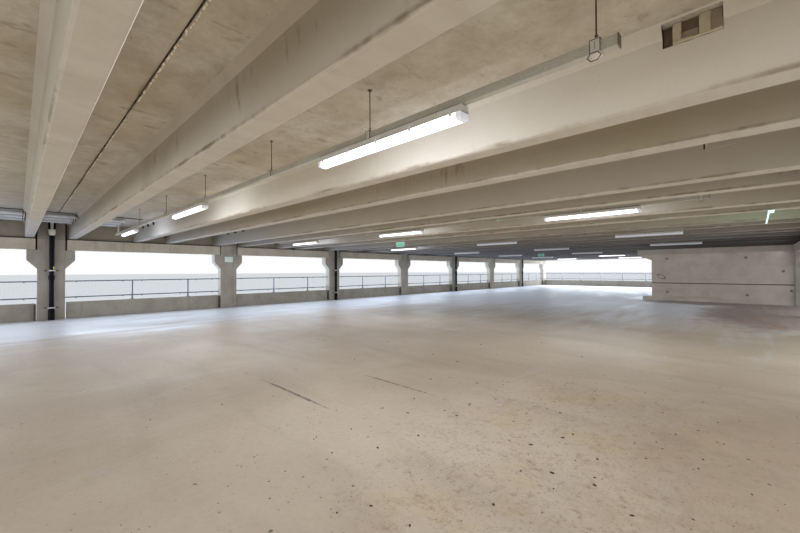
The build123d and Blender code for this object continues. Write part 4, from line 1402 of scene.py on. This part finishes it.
def soft_lamp(name, centre, towards, width, height, radiance, colour=(1.0, 1.0, 1.0), glossy=False):
    """An area lamp of a given brightness that faces along towards; its height lies along Z or Y."""
    data = bpy.data.lights.new(name, "AREA")
    data.shape = "RECTANGLE"
    data.size = width
    data.size_y = height
    data.energy = radiance * pi * width * height
    data.color = colour
    lamp = bpy.data.objects.new(name, data)
    lamp.location = centre
    lamp.rotation_euler = Vector(towards).to_track_quat("-Z", "Y").to_euler()
    lamp.visible_camera = False
    lamp.visible_glossy = glossy
    bpy.context.scene.collection.objects.link(lamp)


ceiling_z = stem_foot - 0.25
floor_z = floor + 0.05
gap_h = stem_foot - LEDGER_DROP - parapet_top
gap_mid = parapet_top + gap_h / 2
inner_h = stem_foot - LEDGER_DROP - floor
soft_lamp("ceiling_bounce", (0, 0, ceiling_z), (0, 0, -1), span * 0.92, run * 0.96, 0.20)
soft_lamp("ceiling_bounce_far", (0.8, 1.0, ceiling_z), (0, 0, -1), span * 0.86, run * 0.52, 0.72, COOL)
soft_lamp("floor_bounce_near", (1.2, -run * 0.32, floor_z), (0, 0, 1), span * 0.80, run * 0.32, 0.64)
soft_lamp("floor_bounce_far", (0, run * 0.16, floor_z), (0, 0, 1), span * 0.92, run * 0.64, 0.02, COOL)
soft_lamp("outer_daylight", (outer_face - LAMP_BACK, 0, gap_mid), (1, 0, 0), run, gap_h, 4.6, DAYLIGHT, True)
soft_lamp("far_daylight", (0, lines[-1] + LAMP_BACK, gap_mid), (0, -1, 0), span, gap_h, 13.0, COOL, True)
soft_lamp("near_daylight", (0, lines[0] - LAMP_BACK, gap_mid), (0, 1, 0), span, gap_h, 3.0, COOL, True)
soft_lamp("inner_daylight", (inner_face + LAMP_BACK, -run * 0.22, gap_mid), (-1, 0, 0), run * 0.56, inner_h,
          1.7, PALE_DAYLIGHT, True)
soft_lamp("sign_glow", (SIDE_X, aisle_stem + 0.30, exit_low.z + 0.05), (0, 1, 0.5), 0.5, 0.12, 22.0,
          GREEN_GLOW)
print("soft lamps", len(bpy.data.lights))

# %% [markdown]
# A tube that is lit would bleach every pixel round it if its cover were as bright as a real one, so the
# cover only shows white, and narrow soft lamps along its sides and below it give the light. The side
# towards the far gable is the brighter one and shines more level, as the stems beyond the lamps show.
# One more strip lies over the second run, for the light that its trunking throws on the stem beyond.

# %% Light of the lit luminaires
TUBE_LIGHT = (0.67, 0.78, 1.0)
LIT_RADIANCE = 65.0
SIDES = ((-1, 1.30, 0.40), (1, 0.55, 1.0))       # side, how far it is turned down, share of the radiance
BELOW_SHARE = 0.6
lens_mid = (lens_low.z + rim_z) / 2
lens_h = rim_z - lens_low.z
lit_lamps = [place for i, place in enumerate(lamp_places) if i not in UNLIT]
for i, place in enumerate(lit_lamps):
    for side, drop, share in SIDES:
        beside = place + Vector((0, side * (LENS_W / 2 + 0.004), lens_mid))
        soft_lamp(f"lit_{i}_side_{side}", beside, (0, side, -drop), LAMP_L - 0.1, lens_h,
                  LIT_RADIANCE * share, TUBE_LIGHT)
    below = place + Vector((0, 0, lens_low.z - 0.004))
    soft_lamp(f"lit_{i}_below", below, (0, 0, -1), LAMP_L - 0.1, LENS_W, LIT_RADIANCE * BELOW_SHARE,
              TUBE_LIGHT)
soft_lamp("run_glow", (3.4, run_lines[1] + 0.10, trunk_high.z + 0.10), (0, 1, -0.9), 8.4, 0.16, 2.4)
print("lit luminaires", len(lit_lamps))

# %% [markdown]
# The building stands on a plain pale floor, which keeps its shadow. Faint clouds keep it from being one
# flat tone.

# %% Ground
GROUND = 300.0           # metres from its middle to each edge
ground_mesh = bmesh.new()
bmesh.ops.create_grid(ground_mesh, x_segments=1, y_segments=1, size=GROUND)
ground_data = bpy.data.meshes.new("ground")
ground_mesh.to_mesh(ground_data)
ground_mesh.free()
ground = bpy.data.objects.new("ground", ground_data)
bpy.context.scene.collection.objects.link(ground)
pale = Finish("ground")
pale_cloud = pale.clouds(0.2, 2.0) * 0.04 + 0.5
pale_tone = pale.mix(pale_cloud, tone(226, 226, 226), tone(236, 236, 236))
ground_data.materials.append(pale.set(base_color=pale_tone, roughness=0.9))
print("ground", GROUND * 2, "m wide")
